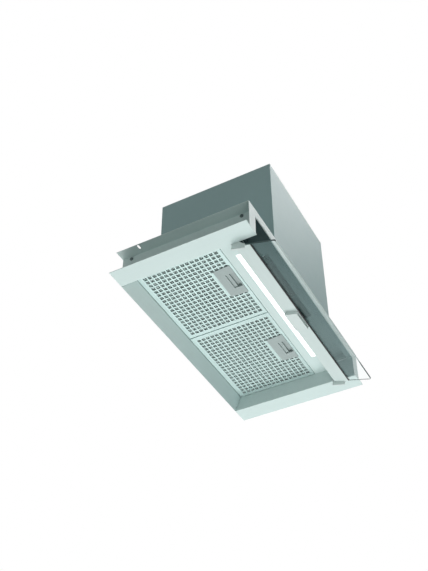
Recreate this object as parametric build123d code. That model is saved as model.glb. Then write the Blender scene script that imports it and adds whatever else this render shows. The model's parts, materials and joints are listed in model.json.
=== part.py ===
from build123d import *
import math
import os

os.makedirs("parts", exist_ok=True)

# Built-in kitchen hood for a 600 mm wall cabinet, with a tilting glass visor.
# All sizes are millimetres. Width runs along X, the front is -Y and the top is +Z.
# The pieces are drawn with z = 0 on the underside of the bottom strips and x = y = 0 at
# the middle of the body. save() then moves the origin to the midpoint of the two mounting
# slots, on the upper face of the side flanges, which is where the hood hangs.

# Body of folded steel
PLATE_WIDTH = 598.0        # across the two bottom strips
BODY_DEPTH = 310.0         # front edge to back edge of the strips
BODY_WIDTH = 510.0         # across the outer faces of the side walls
FLANGE_WIDTH = 561.0       # across the side flanges, inside the cabinet
SIDE_HEIGHT = 74.2         # underside of the strips to the top of the side flanges
SHEET = 1.2                # body sheet
GAP = 0.3                  # clearance between neighbouring sheets
FRONT_SETBACK = 1.5        # side walls and front rail stand back from the strip's front edge
FRONT_RAIL_HEIGHT = 20.6
FRONT_RAIL_RETURN = 14.0
DECK_SIDE_FOLD = 16.2

# Mounting slots and side screws
SLOT_SPACING = 546.0
SLOT_LENGTH = 12.0
SLOT_WIDTH = 5.0
SLOT_FROM_CENTRE = 104.8   # towards the back
SIDE_SCREW_Y = (-125.0, 133.2)
SIDE_SCREW_FROM_TOP = 7.7
SCREW_HEX = 7.0            # across the flats
SCREW_HEAD_HEIGHT = 2.6

# Underside recess
RECESS_DEPTH = 35.0        # height of the filter plane above the strips
RECESS_BACK_SLOPE = 16.0   # how far the back of the recess leans in
HOOK_LIP_HEIGHT = 15.0     # upright lip behind the filters
RAIL_BACK_Y = -58.2        # rear edge of the light rail
RAIL_FRONT_Y = -100.0      # front wall of the air chamber
RAIL_TOP_RETURN = 14.0

# Light
LIGHT_LENGTH = 380.0
LIGHT_WIDTH = 11.0
LIGHT_CENTRE_Y = -82.9
LIGHT_FLANGE = 2.5
LIGHT_FLANGE_THICKNESS = 1.8
LIGHT_CHANNEL_HEIGHT = 8.0
LIGHT_CHANNEL_WIDTH = 20.0
LIGHT_SHEET = 1.0
BOARD_THICKNESS = 1.6

# Filter cassettes
FILTER_REAR_GAP = 1.0
FILTER_EDGE_GAP = 0.8      # to the rail, and half of what is left between the two cassettes
FILTER_SIDE_GAP = 0.9
FILTER_HEIGHT = 9.5
PAN_SHEET = 0.8
PAN_CORNER_RADIUS = 1.5    # lower rear edge, about which the cassette swings
HOLE_SIZE = 16.8
HOLE_COLUMNS = 10
HOLE_ROWS = 7
HOLE_FIELD_SIDE_MARGIN = 9.7
HOLE_FIELD_REAR_MARGIN = 11.0
HOLE_FIELD_FRONT_MARGIN = 7.6
RIM_WIDTH = 12.0
RIM_THICKNESS = 1.6
TONGUE_WIDTH = 30.0
TONGUE_LENGTH = 4.4
TONGUE_SPREAD = 140.0      # between the two tongues of a cassette
TONGUE_PLAY = 2.0
MESH_CLEARANCE = 0.3

# Filter latch
LATCH_PLATE_FRONT_WIDTH = 90.0
LATCH_PLATE_BACK_WIDTH = 84.0
LATCH_PLATE_FRONT_Y = -51.6
LATCH_PLATE_BACK_Y = -12.2
LATCH_PLATE_THICKNESS = 1.2
LATCH_BOX_WIDTH = 60.0
LATCH_BOX_FRONT_Y = -55.8
LATCH_BOX_WALL = 1.2
FINGER_RECESS_WIDTH = 44.0
FINGER_RECESS_FRONT_Y = -50.2
FINGER_RECESS_BACK_Y = -31.0
SLIDER_FRONT_Y = -38.4
SLIDER_BACK_Y = -26.4
SLIDER_TRAVEL = 6.0
SLIDER_LAP = 0.6           # how far the slider passes behind the recess's sides
NOSE_DEPTH = 5.0
NOSE_REACH = 3.4           # how far the nose passes over the light rail
SPRING_ARM = 3.6
SPRING_CROSSBAR = 2.0
SPRING_ROOM = 14.0         # from the slider's back to the back wall of the latch box
SPRING_LEAF = 1.0

# Motor box
BOX_WIDTH = 284.5
BOX_DEPTH = 278.0
BOX_CENTRE_X = -16.5
BOX_FRONT_Y = -151.3
BOX_TOP = 313.9            # height of the lid above the strips
BOX_SHEET = 1.0
BOX_FOOT = 12.0
BOX_LIP = 10.0
AIR_OPENING_MARGIN = 30.0

# Outlet spigot for a 150 mm duct and its damper
SPIGOT_RADIUS = 74.6
SPIGOT_WALL = 2.0
SPIGOT_HEIGHT = 45.0
SPIGOT_BASE = 168.0        # square plate under the collar
SPIGOT_BASE_THICKNESS = 2.0
AXLE_RADIUS = 1.5
LUG_SIZE = 4.8             # square lug at each end of the axle
LUG_DEPTH = 3.0
STOP_HEIGHT = 7.5          # top of the stops that the flaps rest on, above the lid
STOP_SIZE = (4.0, 16.0, 4.0)
FLAP_THICKNESS = 1.6
FLAP_EDGE_CLEARANCE = 0.8
FLAP_ROOT = 3.8            # from the axle's centre to the flap's straight edge
BARREL_SIZE = 4.8          # square knuckles round the axle
BARREL_BORE_CLEARANCE = 0.3
BARREL_COUNT = 3
BARREL_SPAN = 120.0
BARREL_END_CLEARANCE = 0.4

# Blower
WHEEL_RADIUS = 66.0
WHEEL_INNER_RADIUS = 55.0
WHEEL_WIDTH = 108.0
WHEEL_RING = 2.0
BLADE_COUNT = 16
BLADE_THICKNESS = 1.2
BLADE_SWEEP = 6.0          # how far a blade's outer edge leads its inner edge
HUB_RADIUS = 12.0
HUB_LENGTH = 16.0
DISC_THICKNESS = 2.0
SHAFT_RADIUS = 4.0
BLOWER_Z = 182.0
SCROLL_WIDTH = 124.0
SCROLL_WALL = 2.2
SCROLL_END_RADIUS = 106.0
SCROLL_STEP = 10.0         # how much the scroll narrows in each quarter turn
SCROLL_TONGUE_ANGLE = 50.0
OUTLET_DEPTH = 116.0
OUTLET_FLANGE = 16.0       # reaches under the lid round its opening
INLET_RADIUS = 54.0
MOTOR_RADIUS = 42.0
MOTOR_INSIDE_GAP = 9.0     # motor face to the wheel's disc
MOTOR_LENGTH = 66.0
MOTOR_BORE_DEPTH = 20.0
SHAFT_CLEARANCE = 0.05
BRACKET_THICKNESS = 3.0
BRACKET_RING_RADIUS = 30.0
BRACKET_ARM_WIDTH = 14.0
PAD_SIZE = 12.0
PAD_CIRCLE_RADIUS = 73.0
WHEEL_SCREW_HEX = 13.0
WHEEL_SCREW_HEIGHT = 5.0
CAPACITOR = (58.0, 22.0, 36.0)
CAPACITOR_STRAP = 14.0

# Electrics
TERMINAL_BOX = (70.0, 28.0, 44.0)
TERMINAL_BOX_X = -110.0
TERMINAL_BOX_BELOW_LID = 18.0
GLAND_BODY = 18.0          # square, through the wall
GLAND_HEAD = 24.0
GLAND_BORE = 4.0           # radius
GLAND_LENGTH = 14.0        # outside the box
DRIVER_BOX = (96.0, 60.0, 32.0)
DRIVER_LID_THICKNESS = 1.5

# Controls on the front wall, behind the visor
FASCIA_LENGTH = 96.0
FASCIA_HEIGHT = 24.0
FASCIA_THICKNESS = 2.0
FASCIA_CENTRE_X = 190.0
FASCIA_CENTRE_Z = 57.0
SWITCH_BODY_DEPTH = 18.0
KNOB_LENGTH = 9.0
KNOB_HEIGHT = 10.0
KNOB_STAND_OUT = 5.0
STEM_WIDTH = 3.0
STEM_HEIGHT = 2.4
KNOB_CLEARANCE = 0.3
LIGHT_TRAVEL = 8.0
SPEED_TRAVEL = 18.0

# Visor, drawn level with its pivot at the origin and then tilted open
PIVOT_Y = -103.0
PIVOT_Z = 3.5
OPEN_ANGLE = 16.2
VISOR_WIDTH = 500.0
VISOR_REACH = 93.2         # pivot to the front edge of the glass
GLASS_THICKNESS = 4.0
GLASS_CORNER_RADIUS = 3.0
BAR_DROP = 8.5             # pivot to the underside of the bar
BAR_BACK = 5.0
BAR_DEPTH = 33.5
BAR_SKIN = 1.2
BAR_TOP_DEPTH = 20.0
GLASS_PLAY = 0.1
SEAL_DEPTH = 3.0
SEAL_THICKNESS = 0.9
CAP_THICKNESS = 3.4
CAP_DROP = 8.5             # how far the caps and the grip hang below the bar
CAP_DEPTH = 29.0
CAP_HEIGHT = 5.5           # above the pivot
PIN_RADIUS = 2.0
PIN_CLEARANCE = 0.05
GRIP_WIDTH = 58.6
GRIP_BACK = 9.5
GRIP_DEPTH = 29.0
GRIP_WALL = 2.2
GRIP_SLOT_DEPTH = 15.0
GRIP_SLOT_HEIGHT = 4.6
GRIP_SCREW_HEX = 3.2
GRIP_SCREW_HEIGHT = 0.5
GRIP_SCREW_SPREAD = 46.0

# Places worked out from the sizes above
HALF_PLATE = PLATE_WIDTH / 2
HALF_BODY = BODY_WIDTH / 2
HALF_FLANGE = FLANGE_WIDTH / 2
HALF_INSIDE = HALF_BODY - SHEET - GAP
FRONT_Y = -BODY_DEPTH / 2
BACK_Y = BODY_DEPTH / 2
WALL_FRONT_Y = FRONT_Y + FRONT_SETBACK
DECK_TOP = SIDE_HEIGHT
DECK_BOTTOM = SIDE_HEIGHT - SHEET
LIP_Y = BACK_Y - RECESS_BACK_SLOPE
SIDE_SCREW_Z = SIDE_HEIGHT - SIDE_SCREW_FROM_TOP
BOX_CENTRE_Y = BOX_FRONT_Y + BOX_DEPTH / 2
BOX_INNER_WIDTH = BOX_WIDTH - 2 * BOX_SHEET
BOX_INNER_DEPTH = BOX_DEPTH - 2 * BOX_SHEET
LID_BOTTOM = BOX_TOP - BOX_SHEET
FILTER_TOP = RECESS_DEPTH + FILTER_HEIGHT
FILTER_FRONT_Y = RAIL_BACK_Y + FILTER_EDGE_GAP
FILTER_BACK_Y = LIP_Y - FILTER_REAR_GAP
FILTER_OUTER_X = HALF_BODY - SHEET - FILTER_SIDE_GAP
FILTER_INNER_X = FILTER_EDGE_GAP
FILTER_CENTRE_X = (FILTER_OUTER_X + FILTER_INNER_X) / 2
FILTER_WIDTH = FILTER_OUTER_X - FILTER_INNER_X
RIM_BOTTOM = FILTER_TOP - PAN_SHEET - RIM_THICKNESS
LATCH_BOX_TOP = RIM_BOTTOM - GAP
LATCH_BOX_BACK_Y = SLIDER_BACK_Y + SPRING_ROOM + LATCH_BOX_WALL
SLIDER_BOTTOM = RECESS_DEPTH + SHEET + GAP
SLIDER_TOP = LATCH_BOX_TOP - LATCH_BOX_WALL - GAP
SLIDER_HALF = FINGER_RECESS_WIDTH / 2 + SLIDER_LAP
NOSE_HALF = SLIDER_HALF + GAP + SPRING_ARM
STOP_TOP = BOX_TOP + STOP_HEIGHT
AXLE_Z = STOP_TOP + GAP + FLAP_THICKNESS / 2
SPIGOT_INSIDE = SPIGOT_RADIUS - SPIGOT_WALL
SCROLL_TOP = LID_BOTTOM - GAP
BLOWER_Y = BOX_CENTRE_Y + OUTLET_DEPTH / 2 - SCROLL_END_RADIUS
SCROLL_SIDE = SCROLL_WIDTH / 2
CAP_BOTTOM = -BAR_DROP - CAP_DROP

ORIGIN = Location((0, -SLOT_FROM_CENTRE, -SIDE_HEIGHT))


def save(name, shape):
    """Write one piece, measured from the midpoint of the mounting slots."""
    solids = [ORIGIN * solid for solid in shape.solids()]
    export_step(solids[0] if len(solids) == 1 else Compound(solids), f"parts/{name}.step")


def block(x, y, z):
    """Straight block between the two values given for each direction."""
    size = [high - low for low, high in (x, y, z)]
    centre = [(high + low) / 2 for low, high in (x, y, z)]
    return Pos(*centre) * Box(*size)


def fold(points, thickness):
    """Outline of a folded sheet. The points are one face of it, and the metal lies on their left."""
    corners = [Vector(*point) for point in points]
    directions = [(after - here).normalized() for here, after in zip(corners, corners[1:])]
    normals = [Vector(-d.Y, d.X) for d in directions]
    other_face = [corners[0] + normals[0] * thickness]
    for corner, first, second in zip(corners[1:-1], normals, normals[1:]):
        other_face.append(corner + (first + second) * (thickness / (1 + first.dot(second))))
    other_face.append(corners[-1] + normals[-1] * thickness)
    return make_face(Polyline(*corners, *reversed(other_face), close=True))


def along_x(face, low, high):
    """Push a face drawn in (y, z) from one X to another."""
    return extrude(Plane.YZ.offset(low) * face, amount=high - low)


def along_y(face, low, high):
    """Push a face drawn in (x, z) from one Y to another."""
    return extrude(Plane.XZ.offset(-high) * face, amount=high - low)


def along_z(face, low, high):
    """Push a face drawn in (x, y) from one Z to another."""
    return extrude(Plane.XY.offset(low) * face, amount=high - low)


def rod_x(radius, low, high, y, z):
    """Round rod along X."""
    return Pos((low + high) / 2, y, z) * Rot(Y=90) * Cylinder(radius, high - low)


def rod_y(radius, low, high, x, z):
    """Round rod along Y."""
    return Pos(x, (low + high) / 2, z) * Rot(X=90) * Cylinder(radius, high - low)


def rod_z(radius, low, high, x, y):
    """Round rod along Z."""
    return Pos(x, y, (low + high) / 2) * Cylinder(radius, high - low)


def other_side(shape):
    """The same piece on the other side of the hood."""
    return mirror(shape, about=Plane.YZ)


def together(pieces):
    """Several separate solids kept as one node."""
    return Compound([solid for piece in pieces for solid in piece.solids()])


# Body sheets


def side_panel():
    """Left side: bottom strip, wall, top flange with its slot, and front flange, from one sheet."""
    profile = fold(
        [
            (-HALF_PLATE, 0),
            (-HALF_BODY + SHEET, 0),
            (-HALF_BODY + SHEET, SIDE_HEIGHT),
            (-HALF_FLANGE, SIDE_HEIGHT),
        ],
        SHEET,
    )
    panel = along_y(profile, WALL_FRONT_Y, BACK_Y)
    panel += block((-HALF_PLATE, -HALF_BODY + SHEET), (FRONT_Y, WALL_FRONT_Y), (0, SHEET))
    panel += block((-HALF_FLANGE, -HALF_BODY), (WALL_FRONT_Y, WALL_FRONT_Y + SHEET), (SHEET, SIDE_HEIGHT))
    slot = along_z(SlotOverall(SLOT_LENGTH, SLOT_WIDTH), DECK_BOTTOM - 1, SIDE_HEIGHT + 1)
    panel -= Pos(-SLOT_SPACING / 2, SLOT_FROM_CENTRE) * slot
    panel -= rod_x(PIN_RADIUS + PIN_CLEARANCE, -HALF_BODY - 1, -HALF_BODY + SHEET + 1, PIVOT_Y, PIVOT_Z)
    return panel


def top_deck():
    """Sheet that closes the low body, folded down along both sides, with the air opening."""
    profile = fold(
        [
            (HALF_INSIDE, DECK_TOP - DECK_SIDE_FOLD),
            (HALF_INSIDE, DECK_TOP),
            (-HALF_INSIDE, DECK_TOP),
            (-HALF_INSIDE, DECK_TOP - DECK_SIDE_FOLD),
        ],
        SHEET,
    )
    deck = along_y(profile, WALL_FRONT_Y + SHEET + GAP, BACK_Y - SHEET - GAP)
    opening = Rectangle(BOX_WIDTH - 2 * AIR_OPENING_MARGIN, BOX_DEPTH - 2 * AIR_OPENING_MARGIN)
    deck -= Pos(BOX_CENTRE_X, BOX_CENTRE_Y) * along_z(opening, DECK_BOTTOM - 1, DECK_TOP + 1)
    return deck


def rear_panel():
    """Back of the body folded over at the bottom into the sloped back of the recess, with a hook lip."""
    profile = fold(
        [
            (LIP_Y, RECESS_DEPTH + HOOK_LIP_HEIGHT),
            (LIP_Y, RECESS_DEPTH),
            (BACK_Y, 0),
            (BACK_Y, SIDE_HEIGHT),
        ],
        SHEET,
    )
    panel = along_x(profile, -HALF_INSIDE, HALF_INSIDE)
    for x in tongue_places():
        panel -= block(
            (x - TONGUE_WIDTH / 2 - TONGUE_PLAY, x + TONGUE_WIDTH / 2 + TONGUE_PLAY),
            (LIP_Y - 1, LIP_Y + SHEET + 1),
            (RIM_BOTTOM - GAP, RIM_BOTTOM + RIM_THICKNESS + TONGUE_PLAY),
        )
    return panel


def front_rail():
    """Narrow rail across the top of the front opening."""
    profile = fold(
        [
            (WALL_FRONT_Y, SIDE_HEIGHT),
            (WALL_FRONT_Y, SIDE_HEIGHT - FRONT_RAIL_HEIGHT),
            (WALL_FRONT_Y + FRONT_RAIL_RETURN, SIDE_HEIGHT - FRONT_RAIL_HEIGHT),
        ],
        SHEET,
    )
    return along_x(profile, -HALF_INSIDE, HALF_INSIDE)


def light_rail():
    """Strip in front of the filters, folded up as the front wall of the air chamber.

    Its upper corners are notched round the side folds of the deck.
    """
    top = DECK_BOTTOM - GAP
    profile = fold(
        [
            (RAIL_FRONT_Y + RAIL_TOP_RETURN, top),
            (RAIL_FRONT_Y, top),
            (RAIL_FRONT_Y, RECESS_DEPTH),
            (RAIL_BACK_Y, RECESS_DEPTH),
        ],
        SHEET,
    )
    rail = along_x(profile, -HALF_INSIDE, HALF_INSIDE)
    corner = block(
        (HALF_INSIDE - SHEET - GAP, HALF_INSIDE + 1),
        (RAIL_FRONT_Y - 1, RAIL_FRONT_Y + RAIL_TOP_RETURN + 1),
        (DECK_TOP - DECK_SIDE_FOLD - GAP, DECK_TOP),
    )
    rail -= corner
    rail -= other_side(corner)
    rail -= block(
        (-LIGHT_LENGTH / 2 - GAP, LIGHT_LENGTH / 2 + GAP),
        (LIGHT_CENTRE_Y - LIGHT_WIDTH / 2 - GAP, LIGHT_CENTRE_Y + LIGHT_WIDTH / 2 + GAP),
        (RECESS_DEPTH - 1, RECESS_DEPTH + SHEET + 1),
    )
    for x, travel in knob_places():
        rail -= stem_slot(x, travel)
    return rail


# Light strip


def light_diffuser():
    """Milky strip, flush in its slot, held by a wider flange on top of the rail."""
    strip = block(
        (-LIGHT_LENGTH / 2, LIGHT_LENGTH / 2),
        (LIGHT_CENTRE_Y - LIGHT_WIDTH / 2, LIGHT_CENTRE_Y + LIGHT_WIDTH / 2),
        (RECESS_DEPTH, RECESS_DEPTH + SHEET),
    )
    flange = block(
        (-LIGHT_LENGTH / 2 - LIGHT_FLANGE, LIGHT_LENGTH / 2 + LIGHT_FLANGE),
        (
            LIGHT_CENTRE_Y - LIGHT_WIDTH / 2 - LIGHT_FLANGE,
            LIGHT_CENTRE_Y + LIGHT_WIDTH / 2 + LIGHT_FLANGE,
        ),
        (RECESS_DEPTH + SHEET, RECESS_DEPTH + SHEET + LIGHT_FLANGE_THICKNESS),
    )
    return strip + flange


def light_channel():
    """Upturned channel over the diffuser that carries the light board."""
    foot = RECESS_DEPTH + SHEET
    half = LIGHT_CHANNEL_WIDTH / 2
    profile = fold(
        [
            (LIGHT_CENTRE_Y + half, foot),
            (LIGHT_CENTRE_Y + half, foot + LIGHT_CHANNEL_HEIGHT),
            (LIGHT_CENTRE_Y - half, foot + LIGHT_CHANNEL_HEIGHT),
            (LIGHT_CENTRE_Y - half, foot),
        ],
        LIGHT_SHEET,
    )
    half_length = LIGHT_LENGTH / 2 + LIGHT_FLANGE
    return along_x(profile, -half_length, half_length)


def light_board():
    """Circuit board of the light, under the channel's roof."""
    top = RECESS_DEPTH + SHEET + LIGHT_CHANNEL_HEIGHT - LIGHT_SHEET
    return block(
        (-LIGHT_LENGTH / 2, LIGHT_LENGTH / 2),
        (LIGHT_CENTRE_Y - LIGHT_WIDTH / 2, LIGHT_CENTRE_Y + LIGHT_WIDTH / 2),
        (top - BOARD_THICKNESS, top),
    )


# Filter cassettes, drawn for the right side


def tongue_places():
    """Middle of each filter tongue along X."""
    half = TONGUE_SPREAD / 2
    return [side * (FILTER_CENTRE_X + shift) for side in (-1, 1) for shift in (-half, half)]


def latch_plate_outline():
    """Slightly tapered outline of the latch plate, in plan."""
    front = LATCH_PLATE_FRONT_WIDTH / 2
    back = LATCH_PLATE_BACK_WIDTH / 2
    outline = make_face(
        Polyline(
            (FILTER_CENTRE_X - front, LATCH_PLATE_FRONT_Y),
            (FILTER_CENTRE_X + front, LATCH_PLATE_FRONT_Y),
            (FILTER_CENTRE_X + back, LATCH_PLATE_BACK_Y),
            (FILTER_CENTRE_X - back, LATCH_PLATE_BACK_Y),
            close=True,
        )
    )
    return outline


def hole_places():
    """Middle of each hole of the perforated field, without those that the latch plate covers."""
    low_x = FILTER_CENTRE_X - FILTER_WIDTH / 2 + HOLE_FIELD_SIDE_MARGIN
    low_y = FILTER_FRONT_Y + HOLE_FIELD_FRONT_MARGIN
    pitch_x = (FILTER_WIDTH - 2 * HOLE_FIELD_SIDE_MARGIN) / HOLE_COLUMNS
    pitch_y = (FILTER_BACK_Y - HOLE_FIELD_REAR_MARGIN - low_y) / HOLE_ROWS
    reach_x = LATCH_PLATE_FRONT_WIDTH / 2 + HOLE_SIZE / 2
    places = []
    for column in range(HOLE_COLUMNS):
        for row in range(HOLE_ROWS):
            x = low_x + (column + 0.5) * pitch_x
            y = low_y + (row + 0.5) * pitch_y
            beside = abs(x - FILTER_CENTRE_X) > reach_x
            behind = y > LATCH_PLATE_BACK_Y + HOLE_SIZE / 2
            if beside or behind:
                places.append((x, y))
    return places


def latch_box_plan():
    """Room that the latch box takes, in (x, y)."""
    half = LATCH_BOX_WIDTH / 2
    return (FILTER_CENTRE_X - half, FILTER_CENTRE_X + half), (LATCH_BOX_FRONT_Y, LATCH_BOX_BACK_Y)


def filter_pan():
    """Perforated face with its upturned rim. The lower rear edge is rounded about the swing axis."""
    across = Rectangle(FILTER_BACK_Y - FILTER_FRONT_Y, FILTER_HEIGHT)
    middle_y = (FILTER_BACK_Y + FILTER_FRONT_Y) / 2
    outside = along_x(
        Pos(middle_y, RECESS_DEPTH + FILTER_HEIGHT / 2) * across, FILTER_INNER_X, FILTER_OUTER_X
    )
    lower_rear = outside.edges().filter_by(Axis.X).group_by(Axis.Z)[0].sort_by(Axis.Y)[-1]
    outside = fillet(lower_rear, PAN_CORNER_RADIUS)
    inside = block(
        (FILTER_INNER_X + PAN_SHEET, FILTER_OUTER_X - PAN_SHEET),
        (FILTER_FRONT_Y + PAN_SHEET, FILTER_BACK_Y - PAN_SHEET),
        (RECESS_DEPTH + PAN_SHEET, FILTER_TOP + 1),
    )
    inner_rear = inside.edges().filter_by(Axis.X).group_by(Axis.Z)[0].sort_by(Axis.Y)[-1]
    inside = fillet(inner_rear, PAN_CORNER_RADIUS - PAN_SHEET)
    pan = outside - inside
    holes = Sketch() + [Pos(x, y) * Rectangle(HOLE_SIZE, HOLE_SIZE) for x, y in hole_places()]
    pan -= along_z(holes, RECESS_DEPTH - 1, RECESS_DEPTH + PAN_SHEET + 0.1)
    (box_low_x, box_high_x), _ = latch_box_plan()
    window_front = FINGER_RECESS_FRONT_Y - 1
    pan -= block(
        (box_low_x - GAP, box_high_x + GAP),
        (window_front, LATCH_PLATE_BACK_Y - 2),
        (RECESS_DEPTH - 1, RECESS_DEPTH + PAN_SHEET + 0.1),
    )
    pan -= block(
        (FILTER_CENTRE_X - NOSE_HALF - 2 * GAP, FILTER_CENTRE_X + NOSE_HALF + 2 * GAP),
        (FILTER_FRONT_Y - 1, FILTER_FRONT_Y + PAN_SHEET + 0.1),
        (SLIDER_BOTTOM - GAP, SLIDER_TOP + GAP),
    )
    for shift in (-TONGUE_SPREAD / 2, TONGUE_SPREAD / 2):
        middle = FILTER_CENTRE_X + shift
        pan -= block(
            (middle - TONGUE_WIDTH / 2 - GAP, middle + TONGUE_WIDTH / 2 + GAP),
            (FILTER_BACK_Y - PAN_SHEET - 0.1, FILTER_BACK_Y + 1),
            (RIM_BOTTOM - GAP, FILTER_TOP + 1),
        )
    return pan


def filter_rim():
    """Flat rim that clamps the mesh, with the two rear tongues that hook into the back panel."""
    width = FILTER_WIDTH - 2 * PAN_SHEET - 2 * GAP
    depth = FILTER_BACK_Y - FILTER_FRONT_Y - 2 * PAN_SHEET - 2 * GAP
    middle_y = (FILTER_BACK_Y + FILTER_FRONT_Y) / 2
    ring = Rectangle(width, depth) - Rectangle(width - 2 * RIM_WIDTH, depth - 2 * RIM_WIDTH)
    rim = Pos(FILTER_CENTRE_X, middle_y) * along_z(ring, RIM_BOTTOM, RIM_BOTTOM + RIM_THICKNESS)
    for shift in (-TONGUE_SPREAD / 2, TONGUE_SPREAD / 2):
        middle = FILTER_CENTRE_X + shift
        rim += block(
            (middle - TONGUE_WIDTH / 2, middle + TONGUE_WIDTH / 2),
            (FILTER_BACK_Y - 2 * PAN_SHEET, FILTER_BACK_Y + TONGUE_LENGTH),
            (RIM_BOTTOM, RIM_BOTTOM + RIM_THICKNESS),
        )
    return rim


def filter_mesh():
    """Pack of metal mesh inside the pan, cut out round the latch."""
    edge = PAN_SHEET + PAN_CORNER_RADIUS
    pack = block(
        (FILTER_INNER_X + edge, FILTER_OUTER_X - edge),
        (FILTER_FRONT_Y + edge, FILTER_BACK_Y - edge),
        (RECESS_DEPTH + PAN_SHEET + MESH_CLEARANCE, RIM_BOTTOM - MESH_CLEARANCE),
    )
    (low_x, high_x), (_, back_y) = latch_box_plan()
    pack -= block(
        (low_x - 2 * GAP, high_x + 2 * GAP),
        (FILTER_FRONT_Y, back_y + 2 * GAP),
        (RECESS_DEPTH, FILTER_TOP),
    )
    return pack


def latch_plate():
    """Plate on the filter's face with a finger recess, and the box behind it that guides the slider."""
    plate = along_z(latch_plate_outline(), RECESS_DEPTH - LATCH_PLATE_THICKNESS, RECESS_DEPTH)
    (low_x, high_x), (front_y, back_y) = latch_box_plan()
    window_front = FINGER_RECESS_FRONT_Y - 1 + GAP
    window_back = LATCH_PLATE_BACK_Y - 2 - GAP
    neck = block((low_x, high_x), (window_front, window_back), (RECESS_DEPTH, RECESS_DEPTH + SHEET))
    shell = block((low_x, high_x), (front_y, back_y), (RECESS_DEPTH + SHEET, LATCH_BOX_TOP))
    wall = LATCH_BOX_WALL
    room = block(
        (low_x + wall, high_x - wall),
        (front_y + wall, back_y - wall),
        (RECESS_DEPTH + SHEET, LATCH_BOX_TOP - wall),
    )
    nose_window = block(
        (FILTER_CENTRE_X - NOSE_HALF - GAP, FILTER_CENTRE_X + NOSE_HALF + GAP),
        (front_y - 1, front_y + wall + 1),
        (RECESS_DEPTH + SHEET, SLIDER_TOP + GAP),
    )
    finger_room = block(
        (FILTER_CENTRE_X - FINGER_RECESS_WIDTH / 2, FILTER_CENTRE_X + FINGER_RECESS_WIDTH / 2),
        (FINGER_RECESS_FRONT_Y, FINGER_RECESS_BACK_Y),
        (RECESS_DEPTH - LATCH_PLATE_THICKNESS - 1, RECESS_DEPTH + SHEET + 1),
    )
    return plate + neck + (shell - room - nose_window) - finger_room


def latch_slider():
    """Finger tab that slides back inside the latch box."""
    return block(
        (FILTER_CENTRE_X - SLIDER_HALF, FILTER_CENTRE_X + SLIDER_HALF),
        (SLIDER_FRONT_Y, SLIDER_BACK_Y),
        (SLIDER_BOTTOM, SLIDER_TOP),
    )


def latch_spring():
    """Springy plastic frame round the slider: a nose over the light rail and two legs at the back."""
    nose_front = RAIL_BACK_Y - NOSE_REACH
    bar_front = SLIDER_BACK_Y + GAP
    bar_back = bar_front + SPRING_CROSSBAR
    leg_end = LATCH_BOX_BACK_Y - LATCH_BOX_WALL - GAP
    inner_half = NOSE_HALF - SPRING_ARM
    frame = Polyline(
        (-NOSE_HALF, nose_front), (NOSE_HALF, nose_front), (NOSE_HALF, bar_back), (-NOSE_HALF, bar_back), close=True
    )
    hole = Polyline(
        (-inner_half, nose_front + NOSE_DEPTH),
        (inner_half, nose_front + NOSE_DEPTH),
        (inner_half, bar_front),
        (-inner_half, bar_front),
        close=True,
    )
    leg = Polyline(
        (inner_half / 3, bar_back),
        (inner_half / 3 + SPRING_LEAF, bar_back),
        (inner_half, leg_end - SPRING_LEAF),
        (NOSE_HALF, leg_end - SPRING_LEAF),
        (NOSE_HALF, leg_end),
        (inner_half - SPRING_LEAF, leg_end),
        close=True,
    )
    frame_plan = make_face(frame) - make_face(hole)
    leg_plan = make_face(leg)
    spring = along_z(frame_plan, SLIDER_BOTTOM, SLIDER_TOP)
    nose_edge = spring.edges().filter_by(Axis.X).group_by(Axis.Y)[0].sort_by(Axis.Z)[0]
    spring = chamfer(nose_edge, (SLIDER_TOP - SLIDER_BOTTOM) / 2)
    spring += along_z(leg_plan, SLIDER_BOTTOM, SLIDER_TOP)
    spring += other_side(along_z(leg_plan, SLIDER_BOTTOM, SLIDER_TOP))
    return Pos(FILTER_CENTRE_X) * spring


# Motor box


def box_screw_places():
    """Middle of each screw through the feet of the motor box."""
    side = BOX_WIDTH / 2 + BOX_FOOT / 2
    spread = BOX_DEPTH / 2 - 4 * BOX_FOOT
    places = []
    for x in (BOX_CENTRE_X - side, BOX_CENTRE_X + side):
        for y in (BOX_CENTRE_Y - spread, BOX_CENTRE_Y, BOX_CENTRE_Y + spread):
            places.append((x, y))
    for shift in (-BOX_WIDTH / 4, BOX_WIDTH / 4):
        places.append((BOX_CENTRE_X + shift, BOX_CENTRE_Y + BOX_DEPTH / 2 + BOX_FOOT / 2))
    return places


def motor_box_shell():
    """Four walls, feet on three sides and an inward lip under the lid."""
    outer = Rectangle(BOX_WIDTH, BOX_DEPTH)
    inner = Rectangle(BOX_INNER_WIDTH, BOX_INNER_DEPTH)
    lip = outer - Rectangle(BOX_INNER_WIDTH - 2 * BOX_LIP, BOX_INNER_DEPTH - 2 * BOX_LIP)
    low_x = -BOX_WIDTH / 2 - BOX_FOOT
    feet = Pos(0, BOX_FOOT / 2) * Rectangle(-2 * low_x, BOX_DEPTH + BOX_FOOT) - inner
    shell = along_z(outer - inner, DECK_TOP, LID_BOTTOM)
    shell += along_z(lip, LID_BOTTOM - BOX_SHEET, LID_BOTTOM)
    shell += along_z(feet, DECK_TOP, DECK_TOP + BOX_SHEET)
    return Pos(BOX_CENTRE_X, BOX_CENTRE_Y) * shell - gland_body(GAP)


def motor_box_lid():
    """Flat lid with a square outlet hole, which the base of the spigot covers."""
    plan = Rectangle(BOX_WIDTH, BOX_DEPTH) - Rectangle(2 * SPIGOT_INSIDE, 2 * SPIGOT_INSIDE)
    return Pos(BOX_CENTRE_X, BOX_CENTRE_Y) * along_z(plan, LID_BOTTOM, BOX_TOP)


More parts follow.
